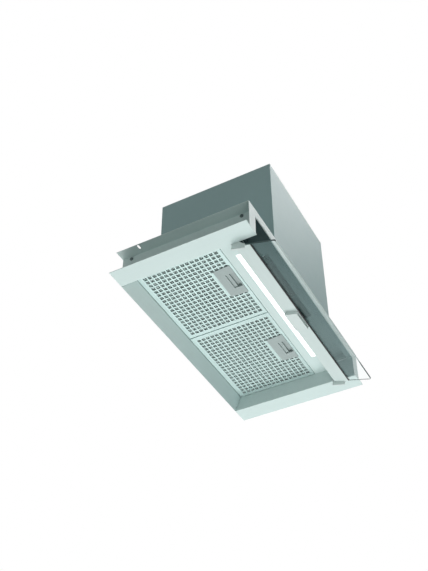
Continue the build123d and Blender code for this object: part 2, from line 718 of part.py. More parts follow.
def outlet_spigot():
    """Round collar for the duct on a square base, with two stops for the flaps and two lugs for their axle."""
    base = Rectangle(SPIGOT_BASE, SPIGOT_BASE)
    spigot = along_z(base, BOX_TOP, BOX_TOP + SPIGOT_BASE_THICKNESS)
    spigot += rod_z(SPIGOT_RADIUS, BOX_TOP, BOX_TOP + SPIGOT_HEIGHT, 0, 0)
    spigot -= rod_z(SPIGOT_INSIDE, BOX_TOP - 1, BOX_TOP + SPIGOT_HEIGHT + 1, 0, 0)
    depth, width, height = STOP_SIZE
    outside = SPIGOT_INSIDE + SPIGOT_WALL / 2
    stop = block((SPIGOT_INSIDE - depth, outside), (-width / 2, width / 2), (STOP_TOP - height, STOP_TOP))
    half = LUG_SIZE / 2
    lug = block((-half, half), (SPIGOT_INSIDE - LUG_DEPTH, outside), (AXLE_Z - half, AXLE_Z + half))
    for turn in (0, 180):
        spigot += Rot(Z=turn) * stop
        spigot += Rot(Z=turn) * lug
    return Pos(BOX_CENTRE_X, BOX_CENTRE_Y) * spigot


def damper_axle():
    """Thin rod across the spigot, between its two lugs."""
    length = SPIGOT_INSIDE - LUG_DEPTH
    return rod_y(AXLE_RADIUS, BOX_CENTRE_Y - length, BOX_CENTRE_Y + length, BOX_CENTRE_X, AXLE_Z)


def damper_flap(side):
    """Half disc with its share of the knuckles round the axle. side is 1 for +X and -1 for -X."""
    radius = SPIGOT_INSIDE - FLAP_EDGE_CLEARANCE
    half = FLAP_THICKNESS / 2
    plate = Cylinder(radius, FLAP_THICKNESS)
    plate &= block((FLAP_ROOT, radius + 1), (-radius - 1, radius + 1), (-half, half))
    step = BARREL_SPAN / BARREL_COUNT
    knuckle = BARREL_SIZE / 2
    for number in range(BARREL_COUNT):
        if (number % 2 == 0) == (side > 0):
            low = -BARREL_SPAN / 2 + number * step + BARREL_END_CLEARANCE
            high = low + step - 2 * BARREL_END_CLEARANCE
            plate += block((-knuckle, knuckle), (low, high), (-knuckle, knuckle))
            plate += block((knuckle, FLAP_ROOT + 1), (low, high), (-half, half))
    plate -= rod_y(AXLE_RADIUS + BARREL_BORE_CLEARANCE, -radius, radius, 0, 0)
    if side < 0:
        plate = mirror(plate, about=Plane.YZ)
    return Pos(BOX_CENTRE_X, BOX_CENTRE_Y, AXLE_Z) * plate


# Blower, drawn with its axis along X


def scroll_outline(inset):
    """Outline of the scroll in (y, z). A positive inset gives the air passage inside the wall.

    The spiral is four arcs. Their centres are the corners of a small square round the shaft,
    so each arc runs smoothly into the next one and is one step narrower.
    """
    outer_y = BLOWER_Y + SCROLL_END_RADIUS - inset
    top = SCROLL_TOP + (1 if inset else 0)
    y = BLOWER_Y + SCROLL_STEP / 2
    z = BLOWER_Z + SCROLL_STEP / 2
    radius = SCROLL_END_RADIUS - SCROLL_STEP / 2 - inset
    arcs = []
    for start, end in ((360, 270), (270, 180), (180, 90), (90, SCROLL_TONGUE_ANGLE)):
        arcs.append(CenterArc((y, z), radius, start, end - start))
        turn = math.radians(end)
        y += SCROLL_STEP * math.cos(turn)
        z += SCROLL_STEP * math.sin(turn)
        radius -= SCROLL_STEP
    inner_top = (BLOWER_Y + SCROLL_END_RADIUS - OUTLET_DEPTH + inset, top)
    sides = Polyline(arcs[-1] @ 1, inner_top, (outer_y, top), arcs[0] @ 0)
    return make_face([*arcs, sides])


def scroll_half(side):
    """One half of the plastic scroll housing, split at its middle. side is 1 for +X."""
    centre = BOX_CENTRE_X
    shell = along_x(scroll_outline(0), centre - SCROLL_SIDE, centre + SCROLL_SIDE)
    shell -= along_x(
        scroll_outline(SCROLL_WALL), centre - SCROLL_SIDE + SCROLL_WALL, centre + SCROLL_SIDE - SCROLL_WALL
    )
    shell -= rod_x(INLET_RADIUS, centre - SCROLL_SIDE - 1, centre + SCROLL_SIDE + 1, BLOWER_Y, BLOWER_Z)
    outer_y = BLOWER_Y + SCROLL_END_RADIUS
    flange = block(
        (centre - SCROLL_SIDE - OUTLET_FLANGE, centre + SCROLL_SIDE + OUTLET_FLANGE),
        (outer_y - OUTLET_DEPTH, outer_y + OUTLET_FLANGE),
        (SCROLL_TOP - SCROLL_WALL, SCROLL_TOP),
    )
    flange -= block(
        (centre - SCROLL_SIDE + SCROLL_WALL, centre + SCROLL_SIDE - SCROLL_WALL),
        (outer_y - OUTLET_DEPTH + SCROLL_WALL, outer_y - SCROLL_WALL),
        (SCROLL_TOP - 2 * SCROLL_WALL, SCROLL_TOP + 1),
    )
    shell += flange
    far = SCROLL_WIDTH
    kept = (centre, centre + far) if side > 0 else (centre - far, centre)
    return shell & block(kept, (BLOWER_Y - 2 * far, BLOWER_Y + 2 * far), (0, BOX_TOP))


def blower_wheel():
    """Double wheel: forward-curved blades between two end rings, on a middle disc with a hexagonal hub."""
    half = WHEEL_WIDTH / 2
    mean = (WHEEL_RADIUS + WHEEL_INNER_RADIUS) / 2
    blade = fold(
        [
            (WHEEL_INNER_RADIUS + BLADE_THICKNESS, 0),
            (mean, BLADE_SWEEP / 4),
            (WHEEL_RADIUS - BLADE_THICKNESS, BLADE_SWEEP),
        ],
        BLADE_THICKNESS,
    )
    blades = Sketch() + [Rot(Z=360 / BLADE_COUNT * number) * blade for number in range(BLADE_COUNT)]
    wheel = along_z(blades, -half + WHEEL_RING / 2, half - WHEEL_RING / 2)
    ring = Circle(WHEEL_RADIUS) - Circle(WHEEL_INNER_RADIUS)
    wheel += along_z(ring, -half, -half + WHEEL_RING)
    wheel += along_z(ring, half - WHEEL_RING, half)
    disc = Circle(WHEEL_INNER_RADIUS + 2 * BLADE_THICKNESS)
    wheel += along_z(disc, -DISC_THICKNESS / 2, DISC_THICKNESS / 2)
    wheel += along_z(RegularPolygon(HUB_RADIUS, 6), -DISC_THICKNESS / 2, HUB_LENGTH)
    wheel -= along_z(Circle(SHAFT_RADIUS), -half, half)
    return Pos(BOX_CENTRE_X, BLOWER_Y, BLOWER_Z) * Rot(Y=90) * wheel


def motor_face():
    """X of the motor's face towards the wheel's disc."""
    return BOX_CENTRE_X - MOTOR_INSIDE_GAP


def motor_back():
    """X of the motor's outer face."""
    return motor_face() - MOTOR_LENGTH


def motor_shaft():
    """Shaft from inside the closed motor to the end of the hub."""
    start = motor_face() - MOTOR_BORE_DEPTH + GAP
    return rod_x(SHAFT_RADIUS, start, BOX_CENTRE_X + HUB_LENGTH, BLOWER_Y, BLOWER_Z)


def wheel_screw():
    """Hexagon head of the screw in the end of the shaft, which holds the wheel on."""
    hexagon = RegularPolygon(WHEEL_SCREW_HEX / 2, 6, major_radius=False)
    screw = along_z(hexagon, HUB_LENGTH, HUB_LENGTH + WHEEL_SCREW_HEIGHT)
    return Pos(BOX_CENTRE_X, BLOWER_Y, BLOWER_Z) * Rot(Y=90) * screw


def motor_body():
    """Closed round motor inside the left half of the wheel, bored for its shaft."""
    face = motor_face()
    body = rod_x(MOTOR_RADIUS, motor_back(), face, BLOWER_Y, BLOWER_Z)
    bore = SHAFT_RADIUS + SHAFT_CLEARANCE
    return body - rod_x(bore, face - MOTOR_BORE_DEPTH, face + 1, BLOWER_Y, BLOWER_Z)


def bracket_angles():
    """Directions of the three bracket arms."""
    return [90 + 120 * number for number in range(3)]


def motor_bracket():
    """Three-armed bracket between the motor's outer face and the scroll's left side."""
    face = motor_back() - BOX_CENTRE_X
    plate = RegularPolygon(BRACKET_RING_RADIUS, 6)
    for angle in bracket_angles():
        reach = PAD_CIRCLE_RADIUS + PAD_SIZE / 2
        arm = Pos(reach / 2, 0) * Rectangle(reach, BRACKET_ARM_WIDTH)
        plate += Rot(Z=angle) * arm
    bracket = along_z(plate, face - BRACKET_THICKNESS, face)
    return Pos(BOX_CENTRE_X, BLOWER_Y, BLOWER_Z) * Rot(Y=90) * bracket


def motor_pads():
    """Rubber pads between the bracket's arms and the scroll."""
    face = motor_back() - BOX_CENTRE_X
    pads = []
    for angle in bracket_angles():
        pad = along_z(Rectangle(PAD_SIZE, PAD_SIZE), face, -SCROLL_SIDE)
        placed = Rot(Y=90) * Rot(Z=angle) * Pos(PAD_CIRCLE_RADIUS, 0) * pad
        pads.append(Pos(BOX_CENTRE_X, BLOWER_Y, BLOWER_Z) * placed)
    return together(pads)


def capacitor_place():
    """Low X, low Y and low Z of the capacitor, in the front right corner of the motor box."""
    length, _, _ = CAPACITOR
    low_x = BOX_CENTRE_X + BOX_INNER_WIDTH / 2 - length - BOX_FOOT
    return low_x, BOX_FRONT_Y + BOX_SHEET, DECK_TOP + 2 * BOX_FOOT


def capacitor():
    """Block-shaped motor capacitor against the front wall of the motor box."""
    length, depth, height = CAPACITOR
    x, y, z = capacitor_place()
    return block((x, x + length), (y, y + depth), (z, z + height))


def capacitor_clip():
    """Strap folded over the capacitor, with a foot on the wall above and below it."""
    length, depth, height = CAPACITOR
    x, y, z = capacitor_place()
    profile = fold(
        [
            (y, z - BOX_FOOT),
            (y, z - SHEET),
            (y + depth, z - SHEET),
            (y + depth, z + height + SHEET),
            (y, z + height + SHEET),
            (y, z + height + BOX_FOOT),
        ],
        -SHEET,
    )
    middle = x + length / 2
    return along_x(profile, middle - CAPACITOR_STRAP / 2, middle + CAPACITOR_STRAP / 2)


# Electrics


def gland_height():
    """Height of the cable gland and the terminal box behind it."""
    return LID_BOTTOM - TERMINAL_BOX_BELOW_LID - TERMINAL_BOX[2] / 2


def terminal_box():
    """Closed box for the mains terminals, on the inside of the back wall."""
    length, depth, height = TERMINAL_BOX
    wall = BOX_CENTRE_Y + BOX_DEPTH / 2 - BOX_SHEET
    half = length / 2
    middle = gland_height()
    box = block(
        (TERMINAL_BOX_X - half, TERMINAL_BOX_X + half), (wall - depth, wall), (middle - height / 2, middle + height / 2)
    )
    return box - gland_body(GAP)


def gland_body(room):
    """Square part of the gland, through the wall into the terminal box, with some room round it."""
    wall = BOX_CENTRE_Y + BOX_DEPTH / 2
    half = GLAND_BODY / 2 + room
    middle = gland_height()
    return block(
        (TERMINAL_BOX_X - half, TERMINAL_BOX_X + half),
        (wall - TERMINAL_BOX[1] / 3, wall),
        (middle - half, middle + half),
    )


def cable_gland():
    """Gland in the back wall that a mains lead passes through."""
    wall = BOX_CENTRE_Y + BOX_DEPTH / 2
    half = GLAND_HEAD / 2
    middle = gland_height()
    gland = gland_body(0)
    gland += block(
        (TERMINAL_BOX_X - half, TERMINAL_BOX_X + half), (wall, wall + GLAND_LENGTH / 3), (middle - half, middle + half)
    )
    half = GLAND_BODY / 2
    gland += block(
        (TERMINAL_BOX_X - half, TERMINAL_BOX_X + half), (wall, wall + GLAND_LENGTH), (middle - half, middle + half)
    )
    return gland - rod_y(GLAND_BORE, wall - TERMINAL_BOX[1], wall + GLAND_LENGTH + 1, TERMINAL_BOX_X, middle)


def driver_place():
    """Corner of the driver box on the deck, to the right of the motor box."""
    length, depth, _ = DRIVER_BOX
    low_x = (BOX_CENTRE_X + BOX_WIDTH / 2 + BOX_FOOT + HALF_INSIDE - length) / 2
    high_y = BACK_Y - 2 * BOX_FOOT
    return low_x, high_y - depth


def driver_box():
    """Open-topped box on the deck for the light driver and the control electronics."""
    length, depth, height = DRIVER_BOX
    low_x, low_y = driver_place()
    wall = DRIVER_LID_THICKNESS
    box = block((low_x, low_x + length), (low_y, low_y + depth), (DECK_TOP, DECK_TOP + height))
    return box - block(
        (low_x + wall, low_x + length - wall),
        (low_y + wall, low_y + depth - wall),
        (DECK_TOP + wall, DECK_TOP + height + 1),
    )


def driver_lid():
    """Lid of the driver box, with a rim that drops inside."""
    length, depth, height = DRIVER_BOX
    low_x, low_y = driver_place()
    wall = DRIVER_LID_THICKNESS
    top = DECK_TOP + height
    lid = block((low_x, low_x + length), (low_y, low_y + depth), (top, top + wall))
    rim = block(
        (low_x + wall + GAP, low_x + length - wall - GAP),
        (low_y + wall + GAP, low_y + depth - wall - GAP),
        (top - 2 * wall, top),
    )
    return lid + rim


def driver_board():
    """Circuit board lying in the driver box."""
    length, depth, _ = DRIVER_BOX
    low_x, low_y = driver_place()
    wall = DRIVER_LID_THICKNESS
    return block(
        (low_x + 2 * wall, low_x + length - 2 * wall),
        (low_y + 2 * wall, low_y + depth - 2 * wall),
        (DECK_TOP + wall, DECK_TOP + wall + BOARD_THICKNESS),
    )


# Controls on the front wall of the air chamber


def knob_places():
    """X of each slider knob at rest, which is the left end of its slot, and its travel."""
    return [
        (FASCIA_CENTRE_X - FASCIA_LENGTH / 4 - LIGHT_TRAVEL / 2, LIGHT_TRAVEL),
        (FASCIA_CENTRE_X + FASCIA_LENGTH / 4 - SPEED_TRAVEL / 2, SPEED_TRAVEL),
    ]


def stem_slot(x, travel):
    """Slot through the fascia and the wall for one knob's stem."""
    half = STEM_WIDTH / 2 + KNOB_CLEARANCE
    return block(
        (x - half, x + travel + half),
        (RAIL_FRONT_Y - FASCIA_THICKNESS - 1, RAIL_FRONT_Y + SHEET + 1),
        (FASCIA_CENTRE_Z - STEM_HEIGHT / 2 - KNOB_CLEARANCE, FASCIA_CENTRE_Z + STEM_HEIGHT / 2 + KNOB_CLEARANCE),
    )


def control_fascia():
    """Dark plate round the two sliders."""
    outline = Pos(FASCIA_CENTRE_X, FASCIA_CENTRE_Z) * Rectangle(FASCIA_LENGTH, FASCIA_HEIGHT)
    plate = along_y(outline, RAIL_FRONT_Y - FASCIA_THICKNESS, RAIL_FRONT_Y)
    for x, travel in knob_places():
        plate -= stem_slot(x, travel)
    return plate


def switch_body():
    """Closed housing of the two switches, behind the front wall."""
    inset = 2 * SHEET
    front = RAIL_FRONT_Y + SHEET
    return block(
        (FASCIA_CENTRE_X - FASCIA_LENGTH / 2 + inset, FASCIA_CENTRE_X + FASCIA_LENGTH / 2 - inset),
        (front, front + SWITCH_BODY_DEPTH),
        (FASCIA_CENTRE_Z - FASCIA_HEIGHT / 2 + inset, FASCIA_CENTRE_Z + FASCIA_HEIGHT / 2 - inset),
    )


def slider_knob(number):
    """Knob with a finger ridge, and the stem that reaches through the wall."""
    x, _ = knob_places()[number]
    front = RAIL_FRONT_Y - FASCIA_THICKNESS - KNOB_CLEARANCE
    half = KNOB_LENGTH / 2
    profile = Polyline(
        (-half, 0),
        (-half, -KNOB_STAND_OUT / 2),
        (-half / 4, -KNOB_STAND_OUT / 2),
        (0, -KNOB_STAND_OUT),
        (half / 4, -KNOB_STAND_OUT / 2),
        (half, -KNOB_STAND_OUT / 2),
        (half, 0),
        close=True,
    )
    half_height = KNOB_HEIGHT / 2
    knob = Pos(x, front) * along_z(
        make_face(profile), FASCIA_CENTRE_Z - half_height, FASCIA_CENTRE_Z + half_height
    )
    stem = block(
        (x - STEM_WIDTH / 2, x + STEM_WIDTH / 2),
        (front - 1, RAIL_FRONT_Y + SHEET - KNOB_CLEARANCE),
        (FASCIA_CENTRE_Z - STEM_HEIGHT / 2, FASCIA_CENTRE_Z + STEM_HEIGHT / 2),
    )
    return knob + stem


# Visor, drawn level about its pivot


def opened(shape):
    """Tilt a visor piece down to its open position and put it on its pivot."""
    return Pos(0, PIVOT_Y, PIVOT_Z) * Rot(X=OPEN_ANGLE) * shape


def glass_heights():
    """Underside and top of the glass in the level visor."""
    low = -BAR_DROP + BAR_SKIN + GLASS_PLAY
    return low, low + GLASS_THICKNESS


def visor_glass():
    """Clear pane, held by its rear edge in the bar."""
    low, high = glass_heights()
    back = -BAR_BACK - BAR_SKIN - GLASS_PLAY
    pane = block((-VISOR_WIDTH / 2, VISOR_WIDTH / 2), (-VISOR_REACH, back), (low, high))
    front_corners = pane.edges().filter_by(Axis.Z).group_by(Axis.Y)[0]
    return opened(fillet(front_corners, GLASS_CORNER_RADIUS))


def visor_bar():
    """Folded bar that grips the rear edge of the glass."""
    _, glass_top = glass_heights()
    top = glass_top + GLASS_PLAY + BAR_SKIN
    profile = fold(
        [
            (-BAR_BACK - BAR_DEPTH, -BAR_DROP),
            (-BAR_BACK, -BAR_DROP),
            (-BAR_BACK, top),
            (-BAR_BACK - BAR_TOP_DEPTH, top),
        ],
        BAR_SKIN,
    )
    return opened(along_x(profile, -VISOR_WIDTH / 2, VISOR_WIDTH / 2))


def visor_seal():
    """Dark strip under the glass along the front edge of the bar."""
    low, _ = glass_heights()
    back = -BAR_BACK - BAR_DEPTH
    strip = block(
        (-VISOR_WIDTH / 2 + 1, VISOR_WIDTH / 2 - 1), (back - SEAL_DEPTH, back), (low - SEAL_THICKNESS, low)
    )
    return opened(strip)


def visor_cap():
    """Left end cap: a low skirt below the bar and a cheek above, with the pivot pin moulded on."""
    low = -VISOR_WIDTH / 2 - CAP_THICKNESS
    high = -VISOR_WIDTH / 2
    outline = Polyline(
        (0, CAP_BOTTOM),
        (-CAP_DEPTH, CAP_BOTTOM),
        (-CAP_DEPTH, -BAR_DROP + BAR_SKIN),
        (-CAP_DEPTH / 2, 0),
        (-CAP_HEIGHT, CAP_HEIGHT * 0.7),
        (-CAP_HEIGHT / 2, CAP_HEIGHT),
        (CAP_HEIGHT / 2, CAP_HEIGHT),
        (CAP_HEIGHT, CAP_HEIGHT / 2),
        (CAP_HEIGHT, -CAP_HEIGHT / 2),
        (0, -BAR_DROP),
        close=True,
    )
    cap = along_x(make_face(outline), low, high)
    cap += rod_x(PIN_RADIUS, -HALF_BODY, low, 0, 0)
    return opened(cap)


def visor_grip():
    """Low block under the bar with a finger slot in its front."""
    half = GRIP_WIDTH / 2
    grip = block((-half, half), (-GRIP_BACK - GRIP_DEPTH, -GRIP_BACK), (CAP_BOTTOM, -BAR_DROP))
    grip = fillet(grip.edges().filter_by(Axis.Z), 1.5)
    middle = (CAP_BOTTOM - BAR_DROP) / 2
    slot = block(
        (-half + GRIP_WALL, half - GRIP_WALL),
        (-GRIP_BACK - GRIP_DEPTH - 1, -GRIP_BACK - GRIP_DEPTH + GRIP_SLOT_DEPTH),
        (middle - GRIP_SLOT_HEIGHT / 2, middle + GRIP_SLOT_HEIGHT / 2),
    )
    return opened(grip - slot)


def grip_screw_y():
    """Y of the grip's screws in the level visor."""
    return -GRIP_BACK - GRIP_SCREW_HEX


def grip_screws():
    """Heads of the two small screws that go up through the grip."""
    hexagon = RegularPolygon(GRIP_SCREW_HEX / 2, 6, major_radius=False)
    head = along_z(hexagon, CAP_BOTTOM - GRIP_SCREW_HEIGHT, CAP_BOTTOM)
    half = GRIP_SCREW_SPREAD / 2
    return together([opened(Pos(x, grip_screw_y()) * head) for x in (-half, half)])


# Screws


def side_screws():
    """Hexagon heads of the screws that hold the side walls to the folds of the deck."""
    hexagon = RegularPolygon(SCREW_HEX / 2, 6, major_radius=False)
    heads = []
    for y in SIDE_SCREW_Y:
        head = along_x(Pos(y, SIDE_SCREW_Z) * hexagon, HALF_BODY, HALF_BODY + SCREW_HEAD_HEIGHT)
        heads += [head, other_side(head)]
    return together(heads)


def box_screws():
    """Heads of the hexagon screws that hold the feet of the motor box to the deck."""
    face = DECK_TOP + BOX_SHEET
    hexagon = RegularPolygon(SCREW_HEX / 2, 6, major_radius=False)
    head = along_z(hexagon, face, face + SCREW_HEAD_HEIGHT)
    return together([Pos(x, y) * head for x, y in box_screw_places()])


left_panel = side_panel()
save("side_panel_left", left_panel)
save("side_panel_right", other_side(left_panel))
save("top_deck", top_deck())
save("rear_panel", rear_panel())
save("front_rail", front_rail())
save("light_rail", light_rail())
save("light_diffuser", light_diffuser())
save("light_channel", light_channel())
save("light_board", light_board())
save("side_screws", side_screws())

for build, name in (
    (filter_pan, "filter_pan"),
    (filter_rim, "filter_rim"),
    (filter_mesh, "filter_mesh"),
    (latch_plate, "latch_plate"),
    (latch_slider, "latch_slider"),
    (latch_spring, "latch_spring"),
):
    right = build()
    save(f"{name}_right", right)
    save(f"{name}_left", other_side(right))

save("motor_box_shell", motor_box_shell())
save("motor_box_lid", motor_box_lid())
save("box_screws", box_screws())
save("outlet_spigot", outlet_spigot())
save("damper_axle", damper_axle())
save("damper_flap_right", damper_flap(1))
save("damper_flap_left", damper_flap(-1))

save("scroll_half_right", scroll_half(1))
save("scroll_half_left", scroll_half(-1))
save("blower_wheel", blower_wheel())
save("motor_shaft", motor_shaft())
save("wheel_screw", wheel_screw())
save("motor_body", motor_body())
save("motor_bracket", motor_bracket())
save("motor_pads", motor_pads())
save("capacitor", capacitor())
save("capacitor_clip", capacitor_clip())

save("terminal_box", terminal_box())
save("cable_gland", cable_gland())
save("driver_box", driver_box())
save("driver_lid", driver_lid())
save("driver_board", driver_board())

save("control_fascia", control_fascia())
save("switch_body", switch_body())
save("light_knob", slider_knob(0))
save("speed_knob", slider_knob(1))

left_cap = visor_cap()
save("visor_glass", visor_glass())
save("visor_bar", visor_bar())
save("visor_seal", visor_seal())
save("visor_cap_left", left_cap)
save("visor_cap_right", other_side(left_cap))
save("visor_grip", visor_grip())
save("grip_screws", grip_screws())
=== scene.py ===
# %% [markdown]
# A built-in kitchen hood, seen from below. Its steel body hides inside a wall cabinet, a clear
# visor tilts down at the front, and two perforated filters fill the underside. The folded sheets,
# the hinges and the slots come from the CAD model, exactly in place. This script gives them their
# finishes, and makes the pieces that need more detail than CAD should carry: the real perforation,
# the mesh behind it, the glass with its ground edges, the latch springs, and the screws.

# %% Load the frame
import json
import math

import bmesh
import bpy
from mathutils import Euler, Matrix, Vector


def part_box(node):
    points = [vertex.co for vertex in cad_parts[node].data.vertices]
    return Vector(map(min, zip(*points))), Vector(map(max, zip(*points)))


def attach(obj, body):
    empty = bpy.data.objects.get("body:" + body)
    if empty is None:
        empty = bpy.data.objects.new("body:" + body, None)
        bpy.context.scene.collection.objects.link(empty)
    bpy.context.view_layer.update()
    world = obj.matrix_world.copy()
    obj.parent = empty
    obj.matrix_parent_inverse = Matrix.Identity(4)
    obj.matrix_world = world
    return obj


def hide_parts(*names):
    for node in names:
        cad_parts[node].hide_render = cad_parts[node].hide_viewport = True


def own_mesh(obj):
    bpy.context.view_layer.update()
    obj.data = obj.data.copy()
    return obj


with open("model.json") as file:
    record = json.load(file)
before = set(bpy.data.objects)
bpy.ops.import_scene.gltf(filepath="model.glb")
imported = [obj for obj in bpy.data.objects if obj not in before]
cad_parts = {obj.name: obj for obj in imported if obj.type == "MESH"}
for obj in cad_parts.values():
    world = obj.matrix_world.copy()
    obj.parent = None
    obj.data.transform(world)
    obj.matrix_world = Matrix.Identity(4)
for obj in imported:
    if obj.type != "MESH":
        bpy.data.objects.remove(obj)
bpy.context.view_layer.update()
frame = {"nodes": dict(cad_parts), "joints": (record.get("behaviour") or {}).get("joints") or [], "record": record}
MM = 0.001
SIDES = ("left", "right")

# %% [markdown]
# The camera comes first, because everything after it is judged through it. The photograph was
# taken from below, in front and to the left. Its straight edges meet in three vanishing points,
# and those gave the place, the turn and the focal length used here.

# %% Camera
CAMERA_PLACE = Vector((-1.3735, -0.7714, -1.3299))
CAMERA_TURN = (132.444, 0.046, -61.559)
CAMERA_LENS = 57.335

camera_data = bpy.data.cameras.new("camera")
camera_data.lens = CAMERA_LENS
camera_data.sensor_width = 36
camera_data.clip_end = 40
camera = bpy.data.objects.new("camera", camera_data)
camera.location = CAMERA_PLACE
camera.rotation_euler = Euler([math.radians(angle) for angle in CAMERA_TURN])
bpy.context.scene.collection.objects.link(camera)
bpy.context.scene.camera = camera
bpy.context.scene.view_settings.view_transform = "Standard"
print("camera", round(CAMERA_PLACE.length, 2), "m from the mounting slots")

# %% [markdown]
# Shader maths reads better as arithmetic than as boxes and wires. Value wraps one socket, and
# each operator on it adds the Math node that does the same. Paint holds a material and adds any
# other node: its settings first, then what its sockets hold or where they are linked from.

# %% Writing shaders as expressions
NOISE_ROUGHNESS = 0.55


class Value:
    """A socket that can be added, multiplied and compared."""

    def __init__(self, paint, socket):
        self.paint = paint
        self.socket = socket

    def math(self, operation, *values):
        node = self.paint.add("ShaderNodeMath", {"operation": operation}, dict(enumerate(values)))
        return Value(self.paint, node.outputs[0])

    def __add__(self, other):
        return self.math("ADD", self, other)

    def __sub__(self, other):
        return self.math("SUBTRACT", self, other)

    def __rsub__(self, other):
        return self.math("SUBTRACT", other, self)

    def __mul__(self, other):
        return self.math("MULTIPLY", self, other)

    def __truediv__(self, other):
        return self.math("DIVIDE", self, other)

    def __rtruediv__(self, other):
        return self.math("DIVIDE", other, self)

    def __pow__(self, other):
        return self.math("POWER", self, other)

    def __gt__(self, other):
        return self.math("GREATER_THAN", self, other)

    def __lt__(self, other):
        return self.math("LESS_THAN", self, other)

    __radd__ = __add__
    __rmul__ = __mul__

    def wave(self):
        return self.math("COSINE", self)

    def larger(self, other):
        return self.math("MAXIMUM", self, other)

    def ramp(self, low, high):
        """0 below low, 1 above high and smooth between them."""
        sockets = {0: self, 1: low, 2: high, 3: 0.0, 4: 1.0}
        node = self.paint.add("ShaderNodeMapRange", {"interpolation_type": "SMOOTHSTEP"}, sockets)
        return Value(self.paint, node.outputs[0])


class Paint:
    """One material and its nodes."""

    def __init__(self, name, **constants):
        self.material = bpy.data.materials.new(name)
        self.material.use_nodes = True
        self.tree = self.material.node_tree
        self.tree.nodes.clear()
        self.output = self.add("ShaderNodeOutputMaterial")
        self.shader = self.add("ShaderNodeBsdfPrincipled", {}, constants)
        self.link(self.shader.outputs[0], self.output.inputs["Surface"])

    def link(self, source, target):
        self.tree.links.new(source, target)

    def add(self, kind, settings=None, sockets=None):
        node = self.tree.nodes.new(kind)
        for name, value in (settings or {}).items():
            setattr(node, name, value)
        for name, value in (sockets or {}).items():
            self.fill(node.inputs[name], value)
        return node

    def fill(self, socket, value):
        if isinstance(value, Value):
            value = value.socket
        if isinstance(value, bpy.types.NodeSocket):
            self.link(value, socket)
        else:
            socket.default_value = value

    def shade(self, **values):
        """Fill sockets of the main shader. A space in a socket's name is written as _."""
        for name, value in values.items():
            self.fill(self.shader.inputs[name.replace("_", " ")], value)

    def place(self, scale=(1, 1, 1)):
        """Object coordinates, stretched by scale."""
        coordinates = self.add("ShaderNodeTexCoord").outputs["Object"]
        node = self.add("ShaderNodeMapping", {}, {"Vector": coordinates, "Scale": scale})
        return node.outputs[0]

    def axes(self):
        """The x, y and z of the object coordinates, in metres."""
        node = self.add("ShaderNodeSeparateXYZ", {}, {0: self.place()})
        return [Value(self, output) for output in node.outputs]

    def noise(self, scale, detail, where=None):
        """Soft random value about 0.5. scale is in repeats a metre."""
        sockets = {
            "Vector": where or self.place(),
            "Scale": scale,
            "Detail": detail,
            "Roughness": NOISE_ROUGHNESS,
        }
        node = self.add("ShaderNodeTexNoise", {}, sockets)
        return Value(self, node.outputs[0])

    def blend(self, factor, first, second):
        """Mix two colours, each an (r, g, b) or a socket."""
        node = self.add("ShaderNodeMix", {"data_type": "RGBA"}, {0: factor})
        for index, colour in ((6, first), (7, second)):
            if isinstance(colour, tuple):
                colour = (*colour, 1)
            self.fill(node.inputs[index], colour)
        return node.outputs[2]

    def bump(self, height, depth, strength):
        """Surface relief: height is a value from 0 to 1, and depth is in metres."""
        node = self.add("ShaderNodeBump", {}, {"Height": height, "Distance": depth, "Strength": strength})
        self.shade(Normal=node.outputs[0])


def shades(colour, change):
    """A darker and a lighter neighbour of a colour."""
    return tuple(c * (1 - change) for c in colour), tuple(min(1, c * (1 + change)) for c in colour)


print("shader helpers ready")

# %% [markdown]
# The body is sheet steel under a satin silver-grey coat. Sprayed paint is never perfectly even:
# it has a very fine orange-peel relief, the gloss drifts a little over a hand's width, and the tone
# drifts with it. The lines of the rolled steel show faintly through it, along the sheet. Noises of
# different sizes do that, and the one for the lines is stretched. The motor box is the same idea,
# darker. The sloped rear sheet is paler at its left end than at its right in the photograph; that is
# light and shade, painted into its colour as a pale left end and a darker right end.
#
# The photograph shows the inside of the hood nearly black, and lighter towards the far end. That is
# shade, and it is painted: a sheet's two faces are a millimetre apart, so a box drawn just within the
# outer faces tells the two apart, and inside it the colour becomes painted shade, darkest at the left
# end and lighter towards the right. The body takes four such boxes: the chamber behind the front
# rail, the opening below that rail, the room over the light rail, and the rail's return except for
# its front edge. The motor box takes one, under its lid.

# %% Coated steel
# Painted shade for the inside of the hood: nearly black at the left end, lighter at the right.
INSIDE_SHADE_LEFT = (0.014, 0.040, 0.044)
INSIDE_SHADE_RIGHT = (0.19, 0.29, 0.29)
HOOD_WIDTH = frame["nodes"]["top_deck"].dimensions.x
TONE_DRIFT = 0.06
GLOSS_DRIFT = 0.12
INSIDE_DULLING = 0.4
ORANGE_PEEL = 0.02 * MM
ORANGE_PEEL_SCALE = 900


def within(paint, low, high):
    """1 inside a box in object coordinates and 0 outside it."""
    inside = 1.0
    for axis, along in enumerate(paint.axes()):
        inside = inside * (along > low[axis]) * (along < high[axis])
    return inside


